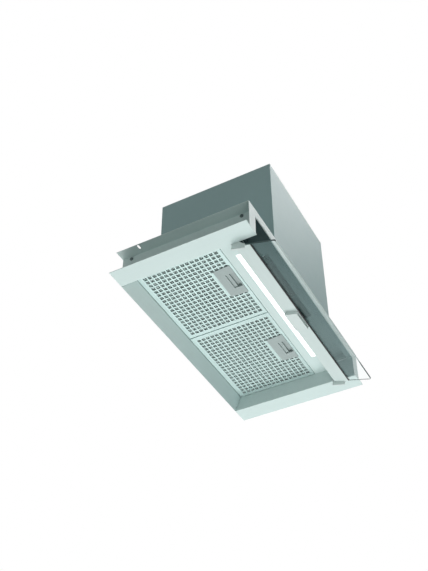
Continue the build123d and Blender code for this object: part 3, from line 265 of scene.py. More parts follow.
def coated_steel(name, colour, roughness, rolled=(2, 70, 70), far_shade_colour=None, inner_boxes=()):
    """Paint on folded sheet. A far shade colour, where given, paints light and shade along the sheet: the coat
    fades from its own colour at the left end to that darker colour at the right end.
    """
    paint = Paint(name, **{"Specular IOR Level": 0.4})
    drift = paint.noise(7, 3)
    cloud = paint.noise(60, 4)
    lines = paint.noise(1, 3, paint.place(scale=rolled))
    mottle = drift * 0.3 + cloud * 0.15 + lines * 0.55
    to_the_right = paint.axes()[0] / HOOD_WIDTH + 0.5
    tone = paint.blend(mottle, *shades(colour, TONE_DRIFT))
    # Painted light and shade along the sheet: from the lit colour at the left end to the shaded colour at the
    # right.
    if far_shade_colour:
        far_shade_tone = paint.blend(mottle, *shades(far_shade_colour, TONE_DRIFT))
        tone = paint.blend(to_the_right, tone, far_shade_tone)
    roughness = roughness + (cloud - 0.5) * GLOSS_DRIFT
    # Painted shade: inside the boxes the colour turns dark, darkest at the left end.
    painted_inside_shade = paint.blend(to_the_right, INSIDE_SHADE_LEFT, INSIDE_SHADE_RIGHT)
    for low, high in inner_boxes:
        inside = within(paint, low, high)
        tone = paint.blend(inside, tone, painted_inside_shade)
        roughness = roughness + inside * INSIDE_DULLING
    paint.shade(Base_Color=tone, Roughness=roughness)
    paint.bump(paint.noise(ORANGE_PEEL_SCALE, 2), ORANGE_PEEL, 0.35)
    return paint.material


SHEET_MARGIN = 0.6 * MM
SHEET_CLEAR = 1.8 * MM
SILVER_RETURN = 1.9 * MM
# Metres, past every piece
FAR_AWAY = 1.0
left_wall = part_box("side_panel_left")[1].x - SHEET_MARGIN
right_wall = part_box("side_panel_right")[0].x + SHEET_MARGIN
strip_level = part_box("side_panel_left")[0].z
deck_low, deck_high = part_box("top_deck")
rail_low, rail_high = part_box("front_rail")
light_low, light_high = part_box("light_rail")
box_low, box_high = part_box("motor_box_lid")


def between_walls(front, back, bottom, top):
    """A box as wide as the hood's inside, with its other faces as given."""
    return Vector((left_wall, front, bottom)), Vector((right_wall, back, top))


behind_rail = rail_low.y + SHEET_MARGIN
before_light = light_low.y - SHEET_MARGIN
# Boxes inside which the body's colour is painted shade.
BODY_INSIDE = (
    between_walls(
        behind_rail,
        deck_high.y - SHEET_MARGIN,
        rail_low.z + SHEET_CLEAR,
        deck_high.z - SHEET_MARGIN,
    ),
    between_walls(
        behind_rail,
        before_light,
        strip_level + SHEET_CLEAR,
        rail_low.z - SHEET_MARGIN,
    ),
    between_walls(
        before_light,
        light_high.y - SHEET_CLEAR,
        light_low.z + SHEET_CLEAR,
        rail_low.z,
    ),
    between_walls(
        rail_low.y + SILVER_RETURN,
        rail_high.y + SHEET_MARGIN,
        rail_low.z - SHEET_MARGIN,
        rail_low.z + SHEET_CLEAR,
    ),
)
# The motor box's inside, under its lid, is painted shade as well.
BOX_INSIDE = (
    (
        Vector((box_low.x + SHEET_MARGIN, box_low.y + SHEET_MARGIN, -FAR_AWAY)),
        Vector((box_high.x - SHEET_MARGIN, box_high.y - SHEET_MARGIN, box_low.z - SHEET_MARGIN)),
    ),
)
BODY_COLOUR = (0.585, 0.715, 0.695)
BOX_COLOUR = (0.275, 0.435, 0.432)
# Painted light and shade on the rear sheet: its left end paler than the body, its right end darker.
REAR_LIT_END_COLOUR = (0.64, 0.76, 0.74)
REAR_SHADED_END_COLOUR = (0.42, 0.55, 0.54)
SILVER = {"roughness": 0.38, "inner_boxes": BODY_INSIDE}
body_paint = coated_steel("silver coat", BODY_COLOUR, **SILVER)
side_paint = coated_steel("side coat", BODY_COLOUR, rolled=(70, 2, 70), **SILVER)
rear_shaded_paint = coated_steel("rear coat", REAR_LIT_END_COLOUR, far_shade_colour=REAR_SHADED_END_COLOUR, **SILVER)
box_paint = coated_steel("grey coat", BOX_COLOUR, 0.42, inner_boxes=BOX_INSIDE)
visor_paint = coated_steel("visor coat", (0.585, 0.69, 0.67), 0.34)
print("coats:", body_paint.name, side_paint.name, rear_shaded_paint.name, box_paint.name, visor_paint.name)

# %% [markdown]
# Bare metal shows how it was worked. Rolled aluminium has long faint lines one way, zinc plate is
# mottled, and turned or drawn rods have rings or streaks. Stretching one noise far more along one
# axis than the others makes the lines, and it feeds the roughness and a very low relief.

# %% Bare metals
WORKED_RELIEF = 0.01 * MM


def worked_metal(name, colour, roughness, grain):
    """Bare metal. grain is the number of repeats a metre along each axis."""
    paint = Paint(name, Metallic=1.0)
    lines = paint.noise(1, 4, paint.place(scale=grain))
    drift = paint.noise(25, 3)
    paint.shade(Base_Color=paint.blend(drift * 0.5 + lines * 0.5, *shades(colour, 0.08)))
    paint.shade(Roughness=roughness + (lines - 0.5) * 0.2 + (drift - 0.5) * 0.08)
    paint.bump(lines, WORKED_RELIEF, 0.4)
    return paint.material


def coated_sheet(name, colour, roughness):
    """Aluminium under a thin coat: mostly paint, a little metal, with faint rolling lines."""
    paint = Paint(name, **{"Specular IOR Level": 0.5})
    lines = paint.noise(1, 4, paint.place(scale=(30, 900, 900)))
    drift = paint.noise(14, 3)
    paint.shade(Base_Color=paint.blend(drift * 0.6 + lines * 0.4, *shades(colour, 0.05)))
    paint.shade(Metallic=drift * 0.15 + 0.1, Roughness=roughness + (lines - 0.5) * 0.15)
    paint.bump(lines, WORKED_RELIEF, 0.3)
    return paint.material


filter_sheet = coated_sheet("perforated sheet", (0.455, 0.595, 0.575), 0.40)
mesh_wire = coated_sheet("mesh wire", (0.64, 0.77, 0.75), 0.38)
dark_zinc = worked_metal("black zinc plate", (0.16, 0.20, 0.20), 0.40, (500, 500, 500))
zinc = worked_metal("zinc plate", (0.58, 0.62, 0.62), 0.33, (500, 500, 500))
rod_steel = worked_metal("ground steel", (0.55, 0.57, 0.58), 0.28, (60, 1500, 1500))
rolled_aluminium = worked_metal("rolled aluminium", (0.72, 0.75, 0.75), 0.35, (20, 900, 900))
print("metals:", filter_sheet.name, mesh_wire.name, zinc.name)

# %% [markdown]
# Moulded plastic keeps the fine spark-eroded grain of its mould, so it is matt from afar and
# pebbled close up. A Voronoi pattern gives rounder pebbles than noise does. Rubber is the same
# with a coarser grain and hardly any gloss.

# %% Plastics and rubber


def moulded(name, colour, roughness, grain=1600, depth=0.03 * MM):
    """Plastic or rubber. grain is in pebbles a metre."""
    paint = Paint(name, **{"Specular IOR Level": 0.45})
    pebbles = paint.add("ShaderNodeTexVoronoi", {}, {"Vector": paint.place(), "Scale": grain})
    drift = paint.noise(30, 3)
    paint.shade(Base_Color=paint.blend(drift, *shades(colour, TONE_DRIFT)))
    paint.shade(Roughness=roughness + (drift - 0.5) * 0.1)
    paint.bump(Value(paint, pebbles.outputs["Distance"]), depth, 0.3)
    return paint.material


latch_plastic = moulded("grey latch plastic", (0.33, 0.40, 0.39), 0.5)
visor_plastic = moulded("pale visor plastic", (0.60, 0.69, 0.67), 0.42)
knob_plastic = moulded("knob plastic", (0.45, 0.50, 0.50), 0.3)
black_plastic = moulded("black plastic", (0.035, 0.038, 0.04), 0.45)
duct_plastic = moulded("duct plastic", (0.045, 0.047, 0.05), 0.5, 1200)
rubber = moulded("rubber", (0.02, 0.022, 0.022), 0.75, 900, 0.05 * MM)
motor_coat = coated_steel("motor coat", (0.16, 0.17, 0.18), 0.45)
print("plastics:", latch_plastic.name, visor_plastic.name, black_plastic.name)

# %% [markdown]
# A circuit board is a glossy coat over fine copper tracks. A saw wave cut off at one level, and
# broken up by a noise, stands in for the tracks. The light's milky cover simply glows: the lamp
# behind it is spread evenly, with only a trace of the separate chips.

# %% Circuit board and light cover
TRACK_SCALE = 60.0
TRACK_RELIEF = 0.04 * MM
LIGHT_CHIP_PITCH = 12 * MM


def circuit_board():
    paint = Paint("circuit board", Roughness=0.3)
    sockets = {"Vector": paint.place(), "Scale": TRACK_SCALE}
    x_lines = paint.add("ShaderNodeTexWave", {"wave_profile": "SAW"}, sockets)
    tracks = (Value(paint, x_lines.outputs["Fac"]) > 0.55) * (paint.noise(180, 1) > 0.5)
    paint.shade(Base_Color=paint.blend(tracks, (0.55, 0.60, 0.57), (0.70, 0.74, 0.70)))
    paint.bump(tracks, TRACK_RELIEF, 0.5)
    return paint.material


def light_cover():
    paint = Paint("light cover", Roughness=0.35, **{"Emission Strength": 1.0})
    ripple = (paint.axes()[0] * (2 * math.pi / LIGHT_CHIP_PITCH)).wave()
    paint.shade(Base_Color=(0.92, 0.94, 0.94, 1))
    paint.shade(Emission_Color=paint.blend(ripple * 0.5 + 0.5, (0.93, 0.96, 0.97), (1.0, 1.0, 1.0)))
    return paint.material


board_material = circuit_board()
cover_material = light_cover()
print("light cover with a chip every", LIGHT_CHIP_PITCH / MM, "mm")

# %% [markdown]
# The visor is clear toughened glass. Its faces are polished and its edges are ground. Light that
# enters an edge runs on inside the pane and hardly comes back, so the ends look dark and matt, with
# the green of glass seen lengthwise. In the photograph the front edge is pale in front of the steel
# and dark past it, so its colour changes along its length; that change is painted light on the ground
# edge, pale where the lit steel stands behind it and painted dark towards its ends. Two materials on
# one pane give that.

# %% Glass
GLASS_INDEX = 1.5
DARK_END_LEFT = 3 * MM
DARK_END_RIGHT = 55 * MM
DARK_END_FADE = 30 * MM
GROUND_RELIEF = 0.02 * MM


def clear_glass():
    constants = {
        "Transmission Weight": 1.0,
        "Specular IOR Level": 1.0,
        "Specular Tint": (0.45, 1.0, 1.0, 1.0),
    }
    paint = Paint("clear glass", IOR=GLASS_INDEX, **constants)
    haze = paint.noise(4, 4)
    paint.shade(Base_Color=(0.955, 0.985, 0.98, 1))
    paint.shade(Roughness=haze.ramp(0.45, 0.9) * 0.02)
    return paint.material


def ground_edge():
    """Ground glass with painted light: pale along the front edge where the steel is behind it, and painted dark
    towards its ends.
    """
    paint = Paint("ground glass edge", IOR=GLASS_INDEX, **{"Transmission Weight": 0.3})
    low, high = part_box("visor_glass")
    x_place = paint.axes()[0]
    past_left_end = x_place > low.x + DARK_END_LEFT
    before_right_end = (high.x - x_place).ramp(DARK_END_RIGHT, DARK_END_RIGHT + DARK_END_FADE)
    scratches = paint.noise(1, 3, paint.place(scale=(300, 2500, 2500)))
    # Painted light: dark at the ends and pale between them, for what shows behind the edge.
    dark = paint.blend(scratches, (0.02, 0.055, 0.055), (0.05, 0.10, 0.10))
    pale = paint.blend(scratches, (0.70, 0.86, 0.84), (0.80, 0.96, 0.94))
    paint.shade(Base_Color=paint.blend(past_left_end * before_right_end, dark, pale))
    paint.shade(Roughness=0.45 + scratches * 0.2)
    paint.bump(scratches, GROUND_RELIEF, 0.4)
    return paint.material


glass_material = clear_glass()
glass_edge = ground_edge()
print("glass:", glass_material.name, "and", glass_edge.name)

# %% [markdown]
# Every CAD node takes the finish of its material slot in the record, apart from three sheets that
# have their own: the side panels are rolled from front to back, and the rear sheet has painted light
# and shade along its length, paler at its left end and darker at its right. The objects stay as they
# are; only the material in their slot changes.

# %% Finishes for the CAD nodes
FINISHES = {
    "body_paint": body_paint,
    "box_paint": box_paint,
    "screws": zinc,
    "filter_metal": filter_sheet,
    "filter_mesh": mesh_wire,
    "latch_plastic": latch_plastic,
    "diffuser": cover_material,
    "light_metal": rolled_aluminium,
    "circuit_board": board_material,
    "duct_plastic": duct_plastic,
    "axle_steel": rod_steel,
    "blower_plastic": black_plastic,
    "bracket_metal": zinc,
    "motor_metal": motor_coat,
    "rubber": rubber,
    "electric_plastic": black_plastic,
    "knob_plastic": knob_plastic,
    "clear_glass": glass_material,
    "visor_metal": visor_paint,
    "visor_plastic": visor_plastic,
}

OWN_FINISHES = {
    "side_panel_left": side_paint,
    "side_panel_right": side_paint,
    "rear_panel": rear_shaded_paint,
}

for part in frame["record"]["subparts"]:
    node = frame["nodes"][part["node"]]
    finish = OWN_FINISHES.get(part["node"], FINISHES[part["material_slot"]])
    if node.material_slots:
        node.material_slots[0].material = finish
    else:
        node.data.materials.append(finish)
print(len(FINISHES), "finishes on the CAD nodes")

# %% [markdown]
# Geometry Nodes make what repeats. Tree builds a node group in the script: its named inputs are
# the sizes, and grow() puts it on an object once, fills those inputs by their identifiers, and
# keeps the plain mesh that comes out.

# %% Growing meshes with Geometry Nodes


class Tree:
    """A Geometry Nodes group with named inputs."""

    KINDS = {float: "NodeSocketFloat", int: "NodeSocketInt", Vector: "NodeSocketVector"}

    def __init__(self, name, **sizes):
        self.group = bpy.data.node_groups.new(name, "GeometryNodeTree")
        self.group.is_modifier = True
        sockets = self.group.interface
        sockets.new_socket("Geometry", in_out="OUTPUT", socket_type="NodeSocketGeometry")
        self.values = {}
        for size, value in {**sizes, "Material": None}.items():
            kind = self.KINDS.get(type(value), "NodeSocketMaterial")
            socket = sockets.new_socket(size, in_out="INPUT", socket_type=kind)
            self.values[socket.identifier] = (size, value)
        self.input = self.add("NodeGroupInput")

    def size(self, name):
        return self.input.outputs[name]

    def add(self, kind, settings=None, sockets=None):
        node = self.group.nodes.new(kind)
        for name, value in (settings or {}).items():
            setattr(node, name, value)
        for name, value in (sockets or {}).items():
            for one in value if isinstance(value, list) else [value]:
                if isinstance(one, bpy.types.Node):
                    one = one.outputs[0]
                if isinstance(one, bpy.types.NodeSocket):
                    self.group.links.new(one, node.inputs[name])
                else:
                    node.inputs[name].default_value = one
        return node

    def math(self, operation, first, second):
        return self.add("ShaderNodeMath", {"operation": operation}, {0: first, 1: second})

    def moved(self, geometry, size):
        sockets = {"Geometry": geometry, "Translation": self.size(size)}
        return self.add("GeometryNodeTransform", {}, sockets)

    def without(self, geometry, dropped):
        """Delete the points that a selection marks."""
        sockets = {"Geometry": geometry, "Selection": dropped}
        return self.add("GeometryNodeDeleteGeometry", {"domain": "POINT"}, sockets)

    def end(self, geometry):
        """Realize what is there, give it the material and send it out."""
        whole = self.add("GeometryNodeRealizeInstances", {}, {0: geometry})
        done = self.add("GeometryNodeSetMaterial", {}, {0: whole, "Material": self.size("Material")})
        self.add("NodeGroupOutput", {}, {0: done})

    def grow(self, name, material, start=None):
        """Run the tree on a new object and return it with the plain mesh."""
        piece = bpy.data.objects.new(name, start or bpy.data.meshes.new(name))
        bpy.context.scene.collection.objects.link(piece)
        modifier = piece.modifiers.new("tree", "NODES")
        modifier.node_group = self.group
        for identifier, (size, value) in self.values.items():
            if size == "Material":
                value = material
            modifier[identifier] = value
        evaluated = piece.evaluated_get(bpy.context.evaluated_depsgraph_get())
        mesh = bpy.data.meshes.new_from_object(evaluated)
        piece.modifiers.remove(modifier)
        piece.data = mesh
        print(name, "has", len(mesh.polygons), "faces")
        return piece


def piece_from(name, shape, material, smooth_angle=None):
    """Turn a bmesh into an object with one material."""
    mesh = bpy.data.meshes.new(name)
    bmesh.ops.recalc_face_normals(shape, faces=shape.faces)
    shape.to_mesh(mesh)
    shape.free()
    mesh.materials.append(material)
    if smooth_angle:
        mesh.shade_smooth()
        mesh.set_sharp_from_angle(angle=math.radians(smooth_angle))
    piece = bpy.data.objects.new(name, mesh)
    bpy.context.scene.collection.objects.link(piece)
    print(name, "has", len(mesh.polygons), "faces")
    return piece


def join(name, pieces):
    """Join objects into the first, under one name."""
    if len(pieces) > 1:
        with bpy.context.temp_override(active_object=pieces[0], selected_editable_objects=pieces):
            bpy.ops.object.join()
    pieces[0].name = name
    return pieces[0]


def bridge(shape, ring, after, material_index=0):
    """Faces between two closed rings that have as many corners."""
    for number in range(len(ring)):
        beside = (number + 1) % len(ring)
        face = shape.faces.new((ring[number], ring[beside], after[beside], after[number]))
        face.material_index = material_index


def box_round(points):
    """Lowest and highest corner of the box round some points."""
    low = Vector([min(point[axis] for point in points) for axis in range(3)])
    high = Vector([max(point[axis] for point in points) for axis in range(3)])
    return low, high


def latch_middle(side):
    """Middle of a filter's latch plate, across the hood."""
    plate_low, plate_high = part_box(f"latch_plate_{side}")
    return (plate_low.x + plate_high.x) / 2


# %% [markdown]
# The face of each filter is sheet with square holes, 21 across and 16 deep, and narrow webs
# between them, except where the latch sits. Cutting some 300 holes with booleans would be slow and
# messy. Instead a grid of points carries one rounded square outline each, the rectangle of the sheet
# is joined to them, and Fill Curve fills what lies between the outlines. It always fills at height
# zero, so the sheet is then moved to its level. Extruding it gives the sheet its thickness and every
# hole its walls.

# %% The perforated sheet as a tree
HOLE_COLUMNS = 21
HOLE_ROWS = 16
HOLE_PITCH = 11.15 * MM
HOLE_SIZE = 8.0 * MM
HOLE_CORNER = 0.9 * MM
HOLE_CORNER_STEPS = 2
PAN_SHEET = 0.8 * MM
PAN_EDGE = 1.5 * MM
PAN_EDGE_STEPS = 6
SEAM = 0.01 * MM
FIELD_SHIFT = -1.8 * MM
WINDOW_HALF = 30.3 * MM
WINDOW_FRONT = 4.6 * MM
WINDOW_BACK = 3.0 * MM


def perforated_sheet(low, high, window_low, window_high):
    """Tree for the flat face of a pan. low and high are its corners in plan."""
    centre = (low + high) / 2
    size = high - low
    window_centre = (window_low + window_high) / 2
    window_size = window_high - window_low
    tree = Tree(
        "perforated sheet",
        Width=size.x,
        Depth=size.y,
        Sheet=PAN_SHEET,
        Columns=HOLE_COLUMNS,
        Rows=HOLE_ROWS,
        Pitch=HOLE_PITCH,
        Hole=HOLE_SIZE,
        Corner=HOLE_CORNER,
        Centre=Vector((centre.x, centre.y, 0)),
        Field=Vector((centre.x, centre.y + FIELD_SHIFT, 0)),
        Window=Vector((window_centre.x, window_centre.y, 0)),
        Level=Vector((0, 0, low.z)),
        WindowWidth=window_size.x,
        WindowDepth=window_size.y,
    )

    def span(count):
        gaps = tree.math("SUBTRACT", tree.size(count), 1.0)
        return tree.math("MULTIPLY", tree.size("Pitch"), gaps)

    def rectangle(width, depth):
        sockets = {"Width": tree.size(width), "Height": tree.size(depth)}
        return tree.add("GeometryNodeCurvePrimitiveQuadrilateral", {}, sockets)

    def near(offset, size):
        """1 where a hole would cut into the latch window along one axis."""
        reach = tree.math("MULTIPLY", tree.math("ADD", tree.size(size), tree.size("Pitch")), 0.5)
        return tree.math("LESS_THAN", tree.math("ABSOLUTE", offset, 0.0), reach)

    sockets = {
        "Size X": span("Columns"),
        "Size Y": span("Rows"),
        "Vertices X": tree.size("Columns"),
        "Vertices Y": tree.size("Rows"),
    }
    points = tree.moved(tree.add("GeometryNodeMeshGrid", {}, sockets), "Field")
    sockets = {0: tree.add("GeometryNodeInputPosition"), 1: tree.size("Window")}
    apart = tree.add("ShaderNodeVectorMath", {"operation": "SUBTRACT"}, sockets)
    away = tree.add("ShaderNodeSeparateXYZ", {}, {0: apart}).outputs
    covered = tree.math("MULTIPLY", near(away[0], "WindowWidth"), near(away[1], "WindowDepth"))
    open_points = tree.without(points, covered)
    sockets = {
        "Curve": rectangle("Hole", "Hole"),
        "Count": HOLE_CORNER_STEPS,
        "Radius": tree.size("Corner"),
    }
    rounded = tree.add("GeometryNodeFilletCurve", {"mode": "POLY"}, sockets)
    sockets = {"Points": open_points, "Instance": rounded}
    holes = tree.add("GeometryNodeInstanceOnPoints", {}, sockets)
    sheet = tree.moved(rectangle("Width", "Depth"), "Centre")
    opening = tree.moved(rectangle("WindowWidth", "WindowDepth"), "Window")
    realized = tree.add("GeometryNodeRealizeInstances", {}, {0: holes})
    outlines = tree.add("GeometryNodeJoinGeometry", {}, {0: [sheet, opening, realized]})
    filled = tree.add("GeometryNodeFillCurve", {"mode": "TRIANGLES"}, {"Curve": outlines})
    face = tree.moved(filled, "Level")
    sockets = {"Mesh": face, "Offset Scale": tree.size("Sheet"), "Individual": False}
    raised = tree.add("GeometryNodeExtrudeMesh", {"mode": "FACES"}, sockets)
    underside = tree.add("GeometryNodeFlipFaces", {}, {"Mesh": face})
    both = tree.add("GeometryNodeJoinGeometry", {}, {0: [raised, underside]})
    tree.end(tree.add("GeometryNodeMergeByDistance", {}, {"Geometry": both, "Distance": SEAM}))
    return tree


def swept_rim(name, low, high, profile, material):
    """Sweep a profile round a rectangle with mitred corners. profile lists (inset, height) points."""
    shape = bmesh.new()
    rings = []
    for inset, height in profile:
        corners = [
            (low.x + inset, low.y + inset),
            (high.x - inset, low.y + inset),
            (high.x - inset, high.y - inset),
            (low.x + inset, high.y - inset),
        ]
        rings.append([shape.verts.new((x, y, height)) for x, y in corners])
    for ring, after in zip(rings, rings[1:] + rings[:1]):
        bridge(shape, ring, after)
    return piece_from(name, shape, material, smooth_angle=40)


def pan_profile(low, high):
    """Cross-section of the pan's folded edge, from the flat face up the wall and back down inside."""
    turns = [math.pi / 2 * step / PAN_EDGE_STEPS for step in range(PAN_EDGE_STEPS + 1)]

    def bend(radius, turn):
        return PAN_EDGE - radius * math.sin(turn), low.z + PAN_EDGE - radius * math.cos(turn)

    outside = [bend(PAN_EDGE, turn) for turn in turns]
    inside = [bend(PAN_EDGE - PAN_SHEET, turn) for turn in reversed(turns)]
    return outside + [(0, high.z), (PAN_SHEET, high.z)] + inside


for side in SIDES:
    low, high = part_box(f"filter_pan_{side}")
    plate_low, plate_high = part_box(f"latch_plate_{side}")
    middle = latch_middle(side)
    inset = Vector((PAN_EDGE, PAN_EDGE, 0))
    tree = perforated_sheet(
        low + inset,
        high - inset,
        Vector((middle - WINDOW_HALF, plate_low.y + WINDOW_FRONT, low.z)),
        Vector((middle + WINDOW_HALF, plate_high.y - WINDOW_BACK, low.z)),
    )
    face = tree.grow(f"filter_sheet_{side}", filter_sheet)
    rim = swept_rim(f"filter_edge_{side}", low, high, pan_profile(low, high), filter_sheet)
    pan = join(f"filter_face_{side}", [face, rim])
    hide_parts(f"filter_pan_{side}")
    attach(pan, f"filter_{side}")

# %% [markdown]
# Behind the holes lies a pack of expanded metal: sheets slit and pulled open into diamonds, laid
# over each other and never quite flat. Each layer starts as a square grid, its points are skewed so
# that the squares become diamonds, what falls outside the pan is dropped, and every edge becomes a thin
# three-sided strand. A slow noise lifts and lowers the strands, with another seed for each layer.

# %% The mesh pack as a tree
DIAMOND_LENGTH = 9.0 * MM
DIAMOND_WIDTH = 5.0 * MM
STRAND_RADIUS = 0.45 * MM
STRAND_SIDES = 3
LAYER_WAVE = 0.6 * MM
LAYER_HEIGHTS = (1.2 * MM, 2.2 * MM, 3.3 * MM, 4.5 * MM)
WAVE_SCALE = 45.0
WAVE_GAIN = 4.0
FIRST_SEED = 3
LATCH_BOX_HALF = 30.9 * MM


def mesh_layer(low, high, hole_low, hole_high, height, seed, long_way):
    """Tree for one layer of expanded metal between low and high, open round the latch box."""
    tree = Tree(
        "expanded metal",
        Length=DIAMOND_LENGTH,
        Width=DIAMOND_WIDTH,
        Strand=STRAND_RADIUS,
        Wave=LAYER_WAVE,
        Low=low,
        High=high,
        HoleLow=hole_low,
        HoleHigh=hole_high,
        Height=height,
        Seed=float(seed),
    )
    centre = (low + high) / 2
    reach = (high - low).length
    steps = int(reach / min(DIAMOND_LENGTH, DIAMOND_WIDTH)) + 2
    span = float(steps - 1)
    sockets = {"Size X": span, "Size Y": span, "Vertices X": steps, "Vertices Y": steps}
    grid = tree.add("GeometryNodeMeshGrid", {}, sockets)
    where = tree.add("ShaderNodeSeparateXYZ", {}, {0: tree.add("GeometryNodeInputPosition")})
    total = tree.math("ADD", where.outputs[0], where.outputs[1])
    difference = tree.math("SUBTRACT", where.outputs[0], where.outputs[1])
    half_length = tree.math("MULTIPLY", tree.size("Length"), 0.5)
    half_width = tree.math("MULTIPLY", tree.size("Width"), 0.5)
    first = tree.math("MULTIPLY", total, half_length)
    second = tree.math("MULTIPLY", difference, half_width)
    along_x, along_y = (first, second) if long_way else (second, first)
    x = tree.math("ADD", along_x, centre.x)
    y = tree.math("ADD", along_y, centre.y)
    flat = tree.add("ShaderNodeCombineXYZ", {}, {0: x, 1: y, 2: tree.size("Height")})
    laid = tree.add("GeometryNodeSetPosition", {}, {"Geometry": grid, "Position": flat})
    place = tree.add("ShaderNodeSeparateXYZ", {}, {0: tree.add("GeometryNodeInputPosition")})

    def inside(corner_low, corner_high):
        """1 between two corners in plan."""
        tests = []
        for axis in (0, 1):
            edges = [
                tree.add("ShaderNodeSeparateXYZ", {}, {0: tree.size(corner)}).outputs[axis]
                for corner in (corner_low, corner_high)
            ]
            tests.append(tree.math("GREATER_THAN", place.outputs[axis], edges[0]))
            tests.append(tree.math("LESS_THAN", place.outputs[axis], edges[1]))
        product = tests[0]
        for test in tests[1:]:
            product = tree.math("MULTIPLY", product, test)
        return product

    outside = tree.math("SUBTRACT", 1.0, inside("Low", "High"))
    dropped = tree.math("ADD", outside, inside("HoleLow", "HoleHigh"))
    kept = tree.without(laid, dropped)
    sockets = {
        "Vector": tree.add("GeometryNodeInputPosition"),
        "W": tree.size("Seed"),
        "Scale": WAVE_SCALE,
        "Detail": 2.0,
    }
    noise = tree.add("ShaderNodeTexNoise", {"noise_dimensions": "4D"}, sockets)
    gain = tree.math("MULTIPLY", tree.size("Wave"), WAVE_GAIN)
    lift = tree.math("MULTIPLY", tree.math("SUBTRACT", noise, 0.5), gain)
    offset = tree.add("ShaderNodeCombineXYZ", {}, {2: lift})
    waved = tree.add("GeometryNodeSetPosition", {}, {"Geometry": kept, "Offset": offset})
    strands = tree.add("GeometryNodeMeshToCurve", {}, {"Mesh": waved})
    sockets = {"Resolution": STRAND_SIDES, "Radius": tree.size("Strand")}
    section = tree.add("GeometryNodeCurvePrimitiveCircle", {"mode": "RADIUS"}, sockets)
    tree.end(tree.add("GeometryNodeCurveToMesh", {}, {"Curve": strands, "Profile Curve": section}))
    return tree


for side in SIDES:
    low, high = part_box(f"filter_mesh_{side}")
    plate_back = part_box(f"latch_plate_{side}")[1].y
    middle = latch_middle(side)
    margin = Vector((STRAND_RADIUS, STRAND_RADIUS, 0)) * 2
    hole_low = Vector((middle - LATCH_BOX_HALF, low.y - FAR_AWAY, 0))
    hole_high = Vector((middle + LATCH_BOX_HALF, plate_back + MM, 0))
    layers = []
    for number, height in enumerate(LAYER_HEIGHTS):
        tree = mesh_layer(
            low + margin,
            high - margin,
            hole_low,
            hole_high,
            low.z + height,
            seed=FIRST_SEED + number,
            long_way=number % 2 == 0,
        )
        layers.append(tree.grow(f"filter_layer_{side}_{number}", mesh_wire))
    pack = join(f"filter_weave_{side}", layers)
    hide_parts(f"filter_mesh_{side}")
    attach(pack, f"filter_{side}")

# %% [markdown]
# The visor's pane is a rounded rectangle with ground edges. It is easiest to draw level, at the
# hinge, and then to tilt it as far as the hinge is open at rest: the hinge and its range come from the
# frame, so the pane lands where the CAD one is.

# %% The pane
GLASS_CORNER = 3.0 * MM
GLASS_CORNER_STEPS = 8
GLASS_CHAMFER = 0.4 * MM


def joint_named(name):
    return next(joint for joint in frame["joints"] if joint["name"] == name)


tilt = joint_named("visor_tilt")
PIVOT = Vector(tilt["pos_m"])
OPEN_TILT = Matrix.Translation(PIVOT) @ Matrix.Rotation(math.radians(tilt["range_deg"][1]), 4, "X")
CLOSE_TILT = OPEN_TILT.inverted()


def level_box(node):
    """Box of a visor node in the level visor, about the hinge."""
    return box_round([CLOSE_TILT @ vertex.co for vertex in frame["nodes"][node].data.vertices])


def pane_outline(low, high, inset):
    """Plan outline with its two front corners rounded."""
    points = []
    radius = GLASS_CORNER - inset
    for centre_x, start in ((low.x + GLASS_CORNER, 180), (high.x - GLASS_CORNER, 270)):
        for step in range(GLASS_CORNER_STEPS + 1):
            turn = math.radians(start + 90 * step / GLASS_CORNER_STEPS)
            x = centre_x + radius * math.cos(turn)
            y = low.y + GLASS_CORNER + radius * math.sin(turn)
            points.append((x, y))
    points.append((high.x - inset, high.y - inset))
    points.append((low.x + inset, high.y - inset))
    return points


glass_low, glass_high = level_box("visor_glass")
shape = bmesh.new()
rings = []
for inset, z in (
    (GLASS_CHAMFER, glass_low.z),
    (0, glass_low.z + GLASS_CHAMFER),
    (0, glass_high.z - GLASS_CHAMFER),
    (GLASS_CHAMFER, glass_high.z),
):
    outline = pane_outline(glass_low, glass_high, inset)
    rings.append([shape.verts.new((x, y, z)) for x, y in outline])
for ring, after in zip(rings, rings[1:]):
    bridge(shape, ring, after, material_index=1)
shape.faces.new(rings[0])
shape.faces.new(rings[-1])
shape.transform(OPEN_TILT)
pane = piece_from("visor_pane", shape, glass_material)
pane.data.materials.append(glass_edge)
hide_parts("visor_glass")
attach(pane, "visor")

# %% [markdown]
# The latch's spring is one moulded piece: a frame that moves with the slider, and two legs that
# lean on the back of the latch box and give way. It is shown as two pieces cut from the CAD spring.
# The frame rides on the latch. The legs ride on the filter.

# %% Latch springs
CROSSBAR_BACK = 2.3 * MM
MERGE_DISTANCE = 0.001 * MM


def merged_copy(node):
    """A CAD node's mesh with its doubled corners merged."""
    shape = bmesh.new()
    shape.from_mesh(frame["nodes"][node].data)
    bmesh.ops.remove_doubles(shape, verts=shape.verts, dist=MERGE_DISTANCE)
    return shape


def cut_copy(name, node, level, keep_back):
    """Copy of a CAD node with only what lies behind, or before, the plane y = level."""
    shape = merged_copy(node)
    cut = bmesh.ops.bisect_plane(
        shape,
        geom=list(shape.verts) + list(shape.edges) + list(shape.faces),
        plane_co=(0, level, 0),
        plane_no=(0, 1, 0),
        clear_inner=keep_back,
        clear_outer=not keep_back,
    )
    edges = [found for found in cut["geom_cut"] if isinstance(found, bmesh.types.BMEdge)]
    bmesh.ops.holes_fill(shape, edges=edges)
    return piece_from(name, shape, latch_plastic, smooth_angle=30)


